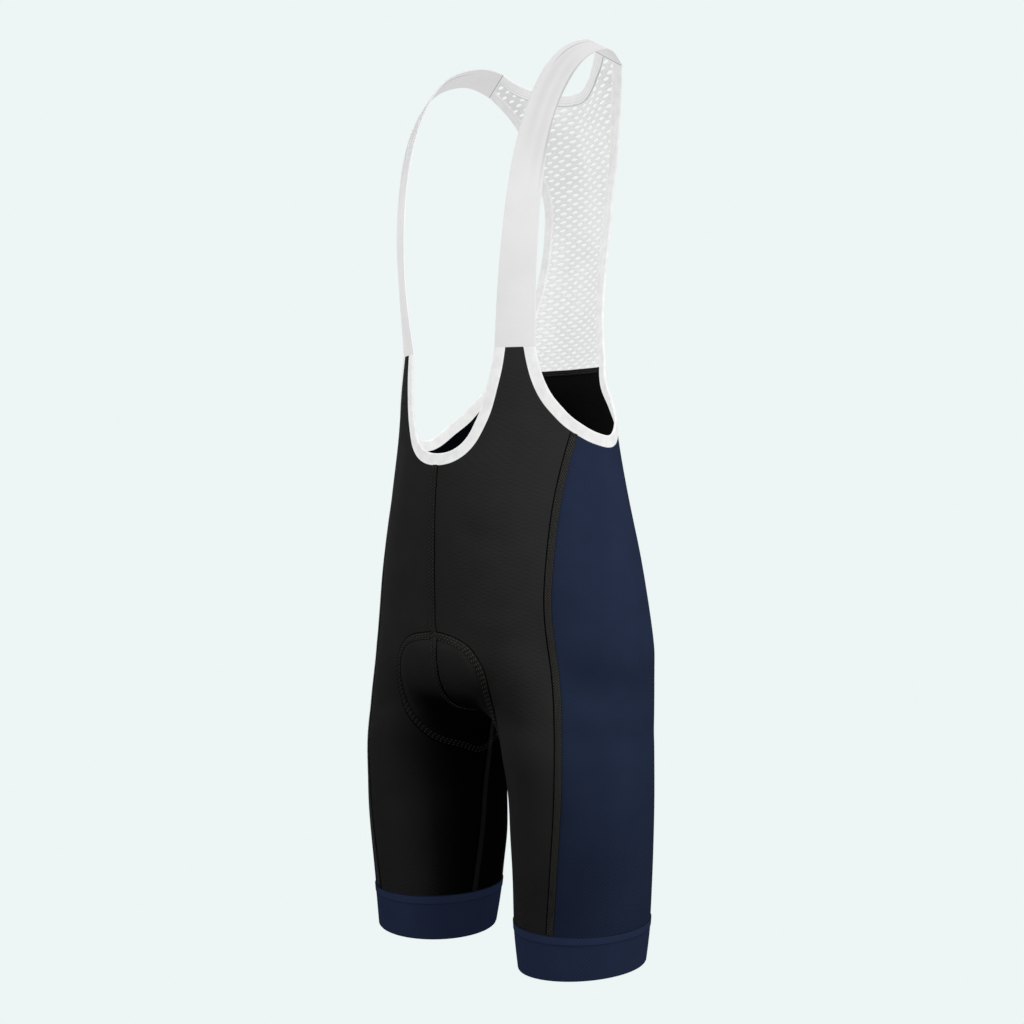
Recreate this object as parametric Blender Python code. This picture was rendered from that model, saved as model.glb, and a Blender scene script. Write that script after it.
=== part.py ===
"""Cycling bib shorts, standing in the round as they do when worn, with nobody in them.

Metres. +Z is up, the front faces -Y and the wearer's left is +X. The origin lies between the
crests of the two shoulder straps, where the shoulders would carry them.

The shorts are stretch panels sewn edge to edge over one closed form: a trunk and two legs whose
sections are ellipses, blended where they meet. Every panel is a thin wall between seam lines that
lie on that form. The bands that bind the neckline and the side openings, the shoulder straps and
the net back are walls between their own edge lines.
"""

import bpy
import numpy as np

# Cloth
WALL = 0.0012  # stretch fabric, strap webbing and net
BAND_WALL = 0.0024  # binding folded over a raw edge
BAND_WIDTH = 0.0117
BAND_PROUD = 0.0006  # how far the binding stands out from the cloth's outer face
GRIPPER_WALL = 0.0016  # doubled leg band
GRIPPER_PROUD = 0.0004
SEAM_GAP = 0.0003

# Heights
STRAP_BASE = -0.2990  # where the straps join the two peaks of the front
BACK_WAIST = -0.3120  # where the net joins the seat
CROTCH = -0.6450
GRIPPER_TOP = -0.8400  # in the middle of the leg, as is the hem
HEM = -0.8837
RISE_BACK = 0.035  # rise of the gripper's seam and of the hem for each metre towards the back
HEM_RISE_OUT = 0.045  # and of the hem for each metre outwards from the middle of the leg

# How softly the forms run into each other
CROTCH_ROUNDING = 0.062
LEG_TO_LEG_BLEND = 0.030
LEG_TO_TRUNK_BLEND = 0.030
AXIS_SPLITS_AT = -0.520  # above it the trunk's own axis, below it slowly the leg's
AXIS_IN_LEG_AT = -0.660

TRUNK_MIDDLE = -0.004  # y of the widest line of the trunk
# height, half width, y of the front, y of the back
TRUNK_SECTIONS = (
    (-0.285, 0.1268, -0.0875, 0.0790),
    (-0.335, 0.1285, -0.0930, 0.0622),
    (-0.375, 0.1300, -0.0965, 0.0680),
    (-0.415, 0.1344, -0.1010, 0.0790),
    (-0.455, 0.1410, -0.1040, 0.0895),
    (-0.490, 0.1483, -0.1045, 0.0973),
    (-0.525, 0.1558, -0.1045, 0.1014),
    (-0.555, 0.1611, -0.1040, 0.1050),
    (-0.580, 0.1648, -0.1040, 0.1072),
    (-0.605, 0.1668, -0.1035, 0.1080),
    (-0.645, 0.1676, -0.1030, 0.1055),
    (-0.700, 0.1682, -0.1030, 0.1020),
)
# height, x and y of the leg's middle, half width, half depth, lean: how far the back of the
# section stands inwards for each metre of depth
LEG_SECTIONS = (
    (-0.520, 0.0700, -0.0040, 0.0100, 0.0200, 0.000),
    (-0.560, 0.0800, -0.0040, 0.0300, 0.0500, 0.000),
    (-0.600, 0.0900, -0.0040, 0.0450, 0.0700, 0.000),
    (-0.645, 0.0980, -0.0080, 0.0653, 0.0748, -0.030),
    (-0.662, 0.0985, -0.0088, 0.0681, 0.0763, -0.030),
    (-0.688, 0.1011, -0.0092, 0.0689, 0.0754, -0.005),
    (-0.725, 0.1035, -0.0080, 0.0693, 0.0728, 0.037),
    (-0.760, 0.1035, -0.0072, 0.0691, 0.0717, 0.053),
    (-0.791, 0.1031, -0.0061, 0.0676, 0.0706, 0.053),
    (-0.820, 0.1031, -0.0062, 0.0657, 0.0685, 0.029),
    (-0.843, 0.1030, -0.0065, 0.0642, 0.0668, 0.010),
    (-0.892, 0.1039, -0.0080, 0.0580, 0.0615, 0.000),
)

# Free edge of the front neckline, from the middle up to the strap: x, height
NECKLINE = (
    (0.0000, -0.3975),
    (0.0120, -0.3965),
    (0.0250, -0.3918),
    (0.0355, -0.3828),
    (0.0430, -0.3695),
    (0.0475, -0.3590),
    (0.0535, -0.3350),
    (0.0567, -0.3180),
    (0.0583, STRAP_BASE),
)
# Free edge of the side opening on the trunk, from the strap round to the net:
# degrees round the trunk's section from the front, height
SIDE_OPENING = (
    (48.0, STRAP_BASE),
    (51.7, -0.324),
    (54.0, -0.334),
    (58.0, -0.346),
    (62.4, -0.355),
    (68.0, -0.3645),
    (73.8, -0.371),
    (80.1, -0.3765),
    (87.2, -0.380),
    (95.0, -0.3808),
    (102.0, -0.3765),
    (111.0, -0.3665),
    (122.8, -0.3530),
    (130.6, -0.3400),
    (137.4, -0.3280),
)
FRONT_SEAM_AT, BACK_SEAM_AT = 6, 12  # entries above from which the side panel's seams run down
# Free edge of the net from the back waist up to the strap: x, y, height
NET_EDGE = (
    (0.0785, 0.0528, -0.312),
    (0.0636, 0.0665, -0.280),
    (0.0555, 0.0750, -0.255),
    (0.0515, 0.0808, -0.235),
    (0.0485, 0.0867, -0.211),
    (0.0474, 0.0918, -0.185),
    (0.0477, 0.0955, -0.155),
    (0.0497, 0.0960, -0.132),
    (0.0585, 0.0912, -0.103),
    (0.0740, 0.0800, -0.051),
    (0.0945, 0.0585, -0.017),
)
# Middle of the net, from the back waist up to the back neckline: y, height
NET_MIDDLE = (
    (0.0695, -0.312),
    (0.0790, -0.285),
    (0.0860, -0.262),
    (0.0940, -0.222),
    (0.0990, -0.180),
    (0.1015, -0.145),
    (0.1018, -0.110),
    (0.0990, -0.065),
    (0.0905, -0.0245),
)
# Free edge of the back neckline, from the middle up to the strap: x, y, height
BACK_NECKLINE = (
    (0.0000, 0.0905, -0.0245),
    (0.0130, 0.0870, -0.0238),
    (0.0260, 0.0800, -0.0212),
    (0.0400, 0.0710, -0.0168),
    (0.0550, 0.0597, -0.0088),
    (0.0655, 0.0515, 0.0010),
)
# Point that the width of the back neckline's binding runs towards: x, y, height above the edge
BACK_BINDING_AIM = (0.045, 0.088, -0.05)
# Shoulder strap, front to back: its edge at the neck (x, y, height), then its outer edge
STRAP = (
    (0.0583, -0.0795, STRAP_BASE, 0.0946, -0.0610, STRAP_BASE),
    (0.0662, -0.0828, -0.241, 0.0980, -0.0638, -0.240),
    (0.0715, -0.0813, -0.187, 0.1022, -0.0640, -0.185),
    (0.0752, -0.0745, -0.132, 0.1040, -0.0600, -0.138),
    (0.0780, -0.0607, -0.082, 0.1058, -0.0495, -0.089),
    (0.0797, -0.0405, -0.041, 0.1078, -0.0303, -0.050),
    (0.0810, -0.0150, -0.013, 0.1085, -0.0050, -0.0225),
    (0.0806, 0.0095, 0.000, 0.1062, 0.0190, -0.0112),
    (0.0750, 0.0360, 0.0058, 0.1010, 0.0400, -0.0098),
    (0.0655, 0.0515, 0.0010, 0.0945, 0.0585, -0.0170),
)
STRAP_CROWN = 0.0022  # how far the strap arches across its width at its base
# Front seam of the side panel, top to bottom: x, y, height
FRONT_SEAM = (
    (0.1214, -0.0431, -0.4046),
    (0.1199, -0.0548, -0.4462),
    (0.1202, -0.0645, -0.5012),
    (0.1212, -0.0680, -0.5332),
    (0.1235, -0.0686, -0.5580),
    (0.1297, -0.0674, -0.5968),
    (0.1359, -0.0692, -0.6510),
    (0.1386, -0.0725, -0.7051),
    (0.1350, -0.0727, -0.7605),
    (0.1281, -0.0708, -0.8171),
    (0.1248, -0.0698, -0.8430),
)
# Back seam of the side panel
BACK_SEAM = (
    (0.1019, 0.0508, -0.4200),
    (0.1039, 0.0604, -0.4600),
    (0.1069, 0.0735, -0.5300),
    (0.1085, 0.0800, -0.5900),
    (0.1240, 0.0730, -0.6400),
    (0.1330, 0.0600, -0.6900),
    (0.1340, 0.0530, -0.7600),
    (0.1290, 0.0490, -0.8430),
)
# Seam inside the leg, from the crotch down
INSEAM = (
    (0.0000, 0.0070, -0.6490),
    (0.0120, 0.0062, -0.6530),
    (0.0250, 0.0030, -0.6640),
    (0.0320, 0.0010, -0.6800),
    (0.0350, -0.0005, -0.7000),
    (0.0365, -0.0040, -0.7250),
    (0.0376, -0.0070, -0.7600),
    (0.0386, -0.0102, -0.7970),
    (0.0396, -0.0160, -0.8430),
)
CROTCH_CENTRE = -0.5650  # height from which the seam under the body is measured, as rays
CROTCH_RAY_TO_INSEAM = 95.5  # degrees from level forwards, down to where the inseams meet

# Grid rows of each stretch of a panel, top to bottom, and columns across it
ROWS_PEAK = 7  # front, beside the side opening
ROWS_YOKE = 3  # below the bend of the neckline, between it and the top of the side seam
ROWS_SEAT_TOP = 5  # back, beside the side opening
ROWS_WAIST = 8
ROWS_CROTCH = 8
ROWS_LEG = 9
SEAM_BREAKS = (-0.428, -0.545, -0.665)  # heights on the side seams where yoke, waist, crotch end
FRONT_COLUMNS = 9
SIDE_COLUMNS = 8
BACK_COLUMNS = 9
NET_ROWS_MIDDLE = 12
NET_ROWS_NECK = 7
NET_COLUMNS = 4
STRAP_ROWS = 26
STRAP_COLUMNS = 3
BAND_COLUMNS = 2
GRIPPER_COLUMNS = 32
GRIPPER_ROWS = 3
NECKLINE_CROWDING = 0.22  # how much closer the rows stand at the neckline's bend than at the strap
BLEND_ROWS = 3  # rows over which a band turns into the seam at its end
SAG_ROWS = 7  # rows over which the hang of an opening's edge fades out below it
CORNER_INSET = 0.015  # share of a panel's edge by which its corner stands clear of the next panel
SIDE_CORNER_INSET = 0.012
NET_TOP_SPACING = 0.012  # least height between the last two points down the middle of the net
FINE_STEPS = 1200  # places at which a table's spline is read
RIM_TILT = 0.3  # weight of depth against height in choosing the corner that a rim is split from

BLACK = (0.0125, 0.0125, 0.0135)
NAVY = (0.0110, 0.0190, 0.0510)
PALE = (0.7400, 0.7400, 0.7450)
PALE_NET = (0.7000, 0.7000, 0.7050)
ROUGHNESS = 0.9
SHARP_ANGLE = 40.0  # degrees


# ---------------------------------------------------------------- curves


def spline(knots, values, at):
    """Natural cubic spline through one row of values at each rising knot, read at the places at."""
    knots, values = np.asarray(knots, float), np.asarray(values, float)
    steps = np.diff(knots)
    count = len(knots)
    system, right = np.eye(count), np.zeros((count, values.shape[1]))
    for i in range(1, count - 1):
        system[i, i - 1 : i + 2] = steps[i - 1], 2 * (steps[i - 1] + steps[i]), steps[i]
        rise = (values[i + 1] - values[i]) / steps[i] - (values[i] - values[i - 1]) / steps[i - 1]
        right[i] = 6 * rise
    bend = np.linalg.solve(system, right)
    at = np.clip(at, knots[0], knots[-1])
    i = np.clip(np.searchsorted(knots, at) - 1, 0, count - 2)
    after = ((at - knots[i]) / steps[i])[:, None]
    before = 1 - after
    cubic = (before**3 - before) * bend[i] + (after**3 - after) * bend[i + 1]
    return before * values[i] + after * values[i + 1] + cubic * (steps[i] ** 2)[:, None] / 6


def along(points):
    """Length along a line of points up to each of them, as a share of the whole."""
    lengths = np.linalg.norm(np.diff(points, axis=0), axis=1)
    run = np.concatenate(([0.0], np.cumsum(lengths)))
    return run / run[-1]


def smooth_line(points, count, knots=None):
    """count + 1 points evenly spaced along the spline through the points."""
    points = np.asarray(points, float)
    knots = along(points) if knots is None else knots
    fine = spline(knots, points, np.linspace(knots[0], knots[-1], 40 * len(points)))
    run = along(fine)
    even = np.linspace(0, 1, count + 1)
    return np.stack([np.interp(even, run, fine[:, axis]) for axis in range(fine.shape[1])], 1)


def unit(vectors):
    return vectors / np.linalg.norm(vectors, axis=-1, keepdims=True)


def tangents(line):
    return unit(np.gradient(line, axis=0))


# ---------------------------------------------------------------- the form


def finely(sections):
    """Heights and values of a section table, read off its spline every half millimetre or so."""
    table = np.asarray(sections, float)[::-1]
    heights = np.linspace(table[0, 0], table[-1, 0], FINE_STEPS)
    return heights, spline(table[:, 0], table[:, 1:], heights)


TRUNK = finely(TRUNK_SECTIONS)
LEG = finely(LEG_SECTIONS)


def section(table, height):
    heights, values = table
    return [np.interp(height, heights, values[:, k]) for k in range(values.shape[1])]


def soft_least(a, b, width):
    """The lesser of a and b, rounded off where they differ by less than width."""
    share = np.clip(0.5 + 0.5 * (b - a) / width, 0, 1)
    return b * (1 - share) + a * share - width * share * (1 - share)


def outside_ellipse(x, y, half_width, half_depth):
    """How far (x, y) lies outside an ellipse, along the ray from its middle."""
    ratio = np.sqrt((x / half_width) ** 2 + (y / half_depth) ** 2) + 1e-9
    reach = np.hypot(x, y)
    return reach - reach / ratio


def form(points):
    """How far each point lies outside the form, roughly in metres. It is 0 on the cloth."""
    x, y, z = points[..., 0], points[..., 1], points[..., 2]
    half_width, front, back = section(TRUNK, z)
    deep = y - TRUNK_MIDDLE
    half_depth = np.where(deep < 0, TRUNK_MIDDLE - front, back - TRUNK_MIDDLE)
    trunk = outside_ellipse(x, deep, half_width, half_depth)
    trunk = -soft_least(-trunk, z - CROTCH, CROTCH_ROUNDING)
    middle_x, middle_y, leg_width, leg_depth, lean = section(LEG, z)
    shift = lean * (y - middle_y)
    left = outside_ellipse(x - middle_x + shift, y - middle_y, leg_width, leg_depth)
    right = outside_ellipse(x + middle_x - shift, y - middle_y, leg_width, leg_depth)
    legs = soft_least(left, right, LEG_TO_LEG_BLEND)
    return soft_least(trunk, legs, LEG_TO_TRUNK_BLEND)


def slope(points):
    """Gradient of the form."""
    step = 3e-4
    moves = np.eye(3) * step
    rises = [form(points + move) - form(points - move) for move in moves]
    return np.stack(rises, -1) / (2 * step)


def settle(points):
    """The points moved along the form's gradient until they lie on it."""
    points = np.array(points, float)
    for _ in range(10):
        rise = slope(points)
        move = rise * (form(points) / np.maximum((rise**2).sum(-1), 0.05))[..., None]
        size = np.linalg.norm(move, axis=-1, keepdims=True)
        points -= move * np.minimum(1, 0.02 / np.maximum(size, 1e-9))
    return points


def outward(points):
    return unit(slope(points))


def trunk_front(x, height):
    """Point of the trunk's front at this x and height."""
    half_width, front, _ = section(TRUNK, height)
    y = TRUNK_MIDDLE - (TRUNK_MIDDLE - front) * np.sqrt(1 - (x / half_width) ** 2)
    return np.stack([x, y, height], -1)


def trunk_round(degrees, height):
    """Point of the trunk this far round its section from the front."""
    half_width, front, back = section(TRUNK, height)
    turn = np.radians(degrees)
    deep = -np.cos(turn)
    half_depth = np.where(deep < 0, TRUNK_MIDDLE - front, back - TRUNK_MIDDLE)
    return np.stack([half_width * np.sin(turn), TRUNK_MIDDLE + half_depth * deep, height], -1)


def axis_at(height):
    """x and y of the line that a panel's rows turn about: the trunk's axis, then the leg's."""
    share = np.clip((AXIS_SPLITS_AT - height) / (AXIS_SPLITS_AT - AXIS_IN_LEG_AT), 0, 1)
    share = share * share * (3 - 2 * share)
    middle_x, middle_y, *_ = section(LEG, height)
    return middle_x * share, middle_y * share + TRUNK_MIDDLE * (1 - share)


def leg_level(points, height, rise_out=0.0):
    """Heights at these points of a sloping ring round the leg."""
    middle_x, middle_y, *_ = section(LEG, height)
    out = np.abs(points[..., 0]) - middle_x
    return height + RISE_BACK * (points[..., 1] - middle_y) + rise_out * out


def crotch_seam(degrees):
    """Points of the seam between the legs, on rays that turn from forwards, down, to backwards."""
    turn = np.radians(degrees)
    way = np.stack([0 * turn, -np.cos(turn), -np.sin(turn)], -1)
    near, far = np.zeros(len(turn)), np.full(len(turn), 0.2)
    centre = np.array([0, 0, CROTCH_CENTRE])
    for _ in range(30):
        middle = (near + far) / 2
        out = form(centre + way * middle[:, None]) > 0
        near, far = np.where(out, near, middle), np.where(out, middle, far)
    return centre + way * near[:, None]


# ---------------------------------------------------------------- walls


def add_object(name, points, faces, colour):
    """One object of these points and faces, in a material of its own."""
    mesh = bpy.data.meshes.new(name)
    mesh.from_pydata(points.tolist(), [], faces)
    mesh.validate()
    material = bpy.data.materials.new(name + "_cloth")
    material.use_nodes = True
    shader = material.node_tree.nodes["Principled BSDF"]
    shader.inputs["Base Color"].default_value = (*colour, 1)
    shader.inputs["Roughness"].default_value = ROUGHNESS
    shader.inputs["Metallic"].default_value = 0.0
    mesh.materials.append(material)
    obj = bpy.data.objects.new(name, mesh)
    bpy.data.collections["bib_shorts"].objects.link(obj)
    mesh.shade_smooth()
    mesh.set_sharp_from_angle(angle=np.radians(SHARP_ANGLE))
    return obj


def grid_faces(rows, columns, closed=False):
    """Quads of a grid of rows by columns points; closed joins the last column to the first."""
    index = np.arange(rows * columns).reshape(rows, columns)
    if closed:
        index = np.hstack([index, index[:, :1]])
    corners = index[:-1, :-1], index[:-1, 1:], index[1:, 1:], index[1:, :-1]
    return np.stack(corners, -1).reshape(-1, 4)


def thicken(points, normals, faces, outer, inner):
    """A closed wall: a skin moved out, a skin moved in, and a rim round every open edge.

    Both skins are split along the same diagonals, each the one that lies further out. A rim is
    split from the outer side of its higher end, so the rims of two walls at a seam run alike.
    """
    count = len(points)
    shell = np.concatenate([points + normals * outer, points + normals * inner])
    a, b, c, d = (points[faces[:, i]] for i in range(4))
    if (np.cross(c - a, d - b) * normals[faces[:, 0]]).sum() < 0:
        faces = faces[:, ::-1]
        a, b, c, d = d, c, b, a
    turned = ((b + d - a - c) * normals[faces[:, 0]]).sum(1) > 0
    faces = np.where(turned[:, None], np.roll(faces, -1, axis=1), faces)
    skin = np.concatenate([faces[:, [0, 1, 2]], faces[:, [0, 2, 3]]])
    sides = np.concatenate([faces[:, [i, (i + 1) % 4]] for i in range(4)])
    known = {(a, b) for a, b in sides.tolist()}
    rank = points[:, 2] + RIM_TILT * points[:, 1]
    rims = []
    for a, b in sides.tolist():
        if (b, a) in known:
            continue
        if rank[b] > rank[a]:
            rims += [(b, a, a + count), (b, a + count, b + count)]
        else:
            rims += [(b, a, b + count), (a, a + count, b + count)]
    return shell, skin.tolist() + (skin[:, ::-1] + count).tolist() + rims


def mirrored(points):
    return points * np.array([-1.0, 1.0, 1.0])


def add_wall(name, grid, normals, colour, outer=0.0, inner=-WALL, closed=False):
    """A wall over a grid of points. Its faces point out, whichever way the grid runs."""
    rows, columns = grid.shape[:2]
    faces = grid_faces(rows, columns, closed)
    points, solid = thicken(grid.reshape(-1, 3), normals.reshape(-1, 3), faces, outer, inner)
    return add_object(name, points, solid, colour)


def add_pair(name, grid, normals, colour, **options):
    """The wall on the wearer's left, and its mirror image on the right."""
    add_wall(name + "_left", grid, normals, colour, **options)
    add_wall(name + "_right", mirrored(grid), mirrored(normals), colour, **options)


# ---------------------------------------------------------------- edges and seams


def neckline():
    """Free edge of the front neckline on the left, from the strap down to the middle."""
    table = np.asarray(NECKLINE)[::-1]
    mirror = table[-2::-1] * np.array([-1.0, 1.0])
    both = smooth_line(np.concatenate([table, mirror]), 400)
    half = both[: len(both) // 2 + 1]
    spread = np.linspace(0, 1, ROWS_PEAK + ROWS_YOKE + 1)
    spread = spread + NECKLINE_CROWDING * spread * (1 - spread)
    line = np.stack([np.interp(spread, along(half), half[:, k]) for k in range(2)], 1)
    return trunk_front(line[:, 0], line[:, 1])


def side_edge():
    """Free edge of the whole side opening, strap to strap, and where its stretches end."""
    trunk = np.asarray(SIDE_OPENING)
    trunk = trunk_round(trunk[:, 0], trunk[:, 1])
    knots = np.concatenate([trunk, np.asarray(NET_EDGE)])
    fine = smooth_line(knots, FINE_STEPS)
    run = along(fine)
    strap_to_front_seam = run[np.argmin(np.linalg.norm(fine - trunk[FRONT_SEAM_AT], axis=1))]
    to_back_seam = run[np.argmin(np.linalg.norm(fine - trunk[BACK_SEAM_AT], axis=1))]
    to_waist = run[np.argmin(np.abs(fine[:, 2] - BACK_WAIST) + (fine[:, 1] < 0))]
    breaks = (0, strap_to_front_seam, to_back_seam, to_waist, 1)
    net_rows = NET_ROWS_MIDDLE + NET_ROWS_NECK
    counts = (ROWS_PEAK, SIDE_COLUMNS, ROWS_SEAT_TOP, net_rows)
    places = [np.linspace(a, b, n + 1)[:-1] for a, b, n in zip(breaks, breaks[1:], counts)]
    places = np.concatenate([*places, [1.0]])
    line = np.stack([np.interp(places, run, fine[:, k]) for k in range(3)], 1)
    return line, np.cumsum(counts)[:-1]


def ends_blended(ways, first, last, reach=BLEND_ROWS):
    """Directions across a band, turned at each end to lie along the seam that closes it."""
    ways = ways.copy()
    for step in range(reach):
        share = 1 - step / reach
        if first is not None:
            ways[step] = unit(ways[step] * (1 - share) + first * share)
        if last is not None:
            ways[-1 - step] = unit(ways[-1 - step] * (1 - share) + last * share)
    return ways


def front_band():
    """Band round the front neckline on the left: grid, normals and the cloth edge beyond it."""
    edge = neckline()
    normals = outward(edge)
    to_strap = unit(trunk_round(SIDE_OPENING[0][0], np.float64(STRAP_BASE)) - edge[0])
    down = np.array([0.0, 0.0, -1.0])
    ways = ends_blended(np.cross(normals, tangents(edge)), to_strap, down)
    shares = np.linspace(0, 1, BAND_COLUMNS + 1) * BAND_WIDTH
    grid = settle(edge[:, None] + ways[:, None] * shares[None, :, None])
    cloth = settle(edge + ways * (BAND_WIDTH + SEAM_GAP))
    for line in (grid, cloth[:, None]):
        line[0, :, 2] = STRAP_BASE
        line[-1, :, 0] = 0.0
    return grid, outward(grid), cloth


def strap_seam():
    """Direction of the seam where a strap meets the net, and its outward normal."""
    neck, outer = np.array(STRAP[-1][:3]), np.array(STRAP[-1][3:])
    way = unit(outer - neck)
    before = (np.array(STRAP[-2][:3]) + np.array(STRAP[-2][3:])) / 2
    strap_way = unit((neck + outer) / 2 - before)
    return way, unit(np.cross(strap_way, way) * -1)


def net_inner():
    """Middle of the net up to the back neckline, then the neckline's cloth edge up to the strap."""
    edge, ways, _ = back_neck_edge()
    cloth = edge + ways * (BAND_WIDTH + SEAM_GAP)
    middle = np.asarray(NET_MIDDLE)
    top = cloth[-1]
    keep = middle[:, 1] < top[2] - NET_TOP_SPACING
    middle = np.concatenate([middle[keep], [[top[1], top[2]]]])
    middle = np.column_stack([np.zeros(len(middle)), middle])
    line = smooth_line(middle, NET_ROWS_MIDDLE)
    line[0, 2] += SEAM_GAP
    return np.concatenate([line, cloth[::-1][1:]])


def back_neck_edge():
    """Free edge of the back neckline from the strap to the middle, with directions and normals."""
    table = np.asarray(BACK_NECKLINE)
    both = np.concatenate([mirrored(table)[:0:-1], table])
    edge = smooth_line(both, 2 * NET_ROWS_NECK)[NET_ROWS_NECK:][::-1]
    seam_way, seam_normal = strap_seam()
    line_way = tangents(edge)
    line_way[-1] = (-1.0, 0.0, 0.0)
    aim = np.array(BACK_BINDING_AIM) - edge * np.array([1.0, 1.0, 0.0])
    aim[-1, 0] = 0.0
    ways = unit(aim - line_way * (aim * line_way).sum(1, keepdims=True))
    ways = ends_blended(ways, seam_way, None, BLEND_ROWS - 1)
    normals = unit(np.cross(ways, line_way))
    normals[0] = seam_normal
    return edge, ways, normals


def side_band():
    """Band round the side opening on the left: grid, normals, cloth edge and its stretches."""
    edge, breaks = side_edge()
    waist = breaks[2]
    on_form = np.arange(len(edge)) <= waist
    edge[on_form] = settle(edge[on_form])
    edge[0, 2] = STRAP_BASE
    line_way = tangents(edge)
    net_way = net_inner() - edge[waist:]
    net_normals = unit(np.cross(unit(net_way), line_way[waist:]))
    normals = outward(edge)
    share = np.clip(np.arange(len(net_way)) / BLEND_ROWS, 0, 1)[:, None]
    normals[waist:] = unit(normals[waist:] * (1 - share) + net_normals * share)
    seam_way, seam_normal = strap_seam()
    to_neck = unit(trunk_front(np.float64(NECKLINE[-1][0]), np.float64(STRAP_BASE)) - edge[0])
    ways = ends_blended(unit(np.cross(line_way, normals)), to_neck, -seam_way)
    level = unit(np.cross(normals[waist], np.array([0.0, 0.0, 1.0])))
    level = level * np.sign(np.dot(level, ways[waist]))
    for step in range(1 - BLEND_ROWS, BLEND_ROWS):
        share = 1 - abs(step) / BLEND_ROWS
        ways[waist + step] = unit(ways[waist + step] * (1 - share) + level * share)
    normals[-1] = seam_normal
    shares = np.linspace(0, 1, BAND_COLUMNS + 1) * BAND_WIDTH
    grid = edge[:, None] + ways[:, None] * shares[None, :, None]
    cloth = edge + ways * (BAND_WIDTH + SEAM_GAP)
    grid[on_form] = settle(grid[on_form])
    cloth[on_form] = settle(cloth[on_form])
    normals = np.repeat(normals[:, None], BAND_COLUMNS + 1, 1)
    normals[on_form] = outward(grid[on_form])
    grid[0, :, 2] = cloth[0, 2] = STRAP_BASE
    return grid, normals, cloth, breaks


def seam_heights(top):
    """Heights of the rows of a side seam, from its top to the leg band."""
    stops = (top, *SEAM_BREAKS, GRIPPER_TOP + SEAM_GAP / 2)
    counts = (ROWS_YOKE, ROWS_WAIST, ROWS_CROTCH, ROWS_LEG)
    parts = [np.linspace(a, b, n + 1)[:-1] for a, b, n in zip(stops, stops[1:], counts)]
    return np.concatenate([*parts, [stops[-1]]])


def side_seam(table, top):
    """Seam from the point top of the opening's band down to the leg band."""
    knots = np.concatenate([[top], np.asarray(table)])
    heights = seam_heights(top[2])
    line = spline(-knots[:, 2], knots[:, :2], -heights)
    points = settle(np.column_stack([line, heights]))
    points[0] = top
    points[-1, 2] = leg_level(points[-1], GRIPPER_TOP + SEAM_GAP / 2)
    return points


def inseam():
    points = settle(smooth_line(INSEAM, ROWS_LEG))
    points[0] = crotch_seam(np.array([CROTCH_RAY_TO_INSEAM]))[0]
    points[-1, 2] = leg_level(points[-1], GRIPPER_TOP + SEAM_GAP / 2)
    return points


def beside(seam, distance):
    """The seam line moved sideways on the cloth, towards its right as it runs down."""
    across = unit(np.cross(tangents(seam), outward(seam)))
    moved = seam + across * distance
    moved[:, 2] = np.where(np.arange(len(seam)) == len(seam) - 1, seam[:, 2], moved[:, 2])
    return moved


def middle_front(top):
    """Seam down the middle of the front, under the body and down inside the leg."""
    heights = np.linspace(top[2], CROTCH_CENTRE, ROWS_WAIST + 1)[:-1]
    upper = trunk_front(0 * heights, heights)
    upper[0] = top
    under = crotch_seam(np.linspace(0, CROTCH_RAY_TO_INSEAM, ROWS_CROTCH + 1))[:-1]
    return np.concatenate([upper, under])


def middle_back():
    """Seam down the middle of the back as far as the inseam."""
    rows = ROWS_SEAT_TOP + ROWS_YOKE + ROWS_WAIST
    heights = np.linspace(BACK_WAIST, CROTCH_CENTRE, rows + 1)[:-1]
    upper = trunk_round(180.0 + 0 * heights, heights)
    under = crotch_seam(np.linspace(180, CROTCH_RAY_TO_INSEAM, ROWS_CROTCH + 1))[:-1]
    return np.concatenate([upper, under])


# ---------------------------------------------------------------- panels


def across_form(start, end, columns, sag=0.0):
    """Rows of points on the form from each start point to its end point.

    Each row turns evenly about the axis while its height and reach run evenly too, and its
    points are then settled onto the form. sag is how far the first row hangs below an even run
    in each column, and the rows below it follow less and less.
    """
    start_x, start_y = axis_at(start[:, 2])
    end_x, end_y = axis_at(end[:, 2])
    first = np.arctan2(start[:, 0] - start_x, -(start[:, 1] - start_y))
    last = np.arctan2(end[:, 0] - end_x, -(end[:, 1] - end_y))
    last = np.where(last < first, last + 2 * np.pi, last)
    first_reach = np.hypot(start[:, 0] - start_x, start[:, 1] - start_y)
    last_reach = np.hypot(end[:, 0] - end_x, end[:, 1] - end_y)
    share = np.linspace(0, 1, columns + 1)[None, :]
    turn = first[:, None] * (1 - share) + last[:, None] * share
    reach = first_reach[:, None] * (1 - share) + last_reach[:, None] * share
    fade = np.clip(1 - np.arange(len(start)) / SAG_ROWS, 0, 1)[:, None] ** 2
    height = start[:, 2:] * (1 - share) + end[:, 2:] * share + sag * fade
    middle_x, middle_y = axis_at(height)
    x = middle_x + reach * np.sin(turn)
    y = middle_y - reach * np.cos(turn)
    rows = settle(np.stack([x, y, height], -1))
    rows[:, 0], rows[:, -1] = start, end
    rows[0, :, 2] = np.linspace(start[0, 2], end[0, 2], columns + 1)
    rows[-1, :, 2] = leg_level(rows[-1], GRIPPER_TOP + SEAM_GAP / 2)
    return rows


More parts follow.
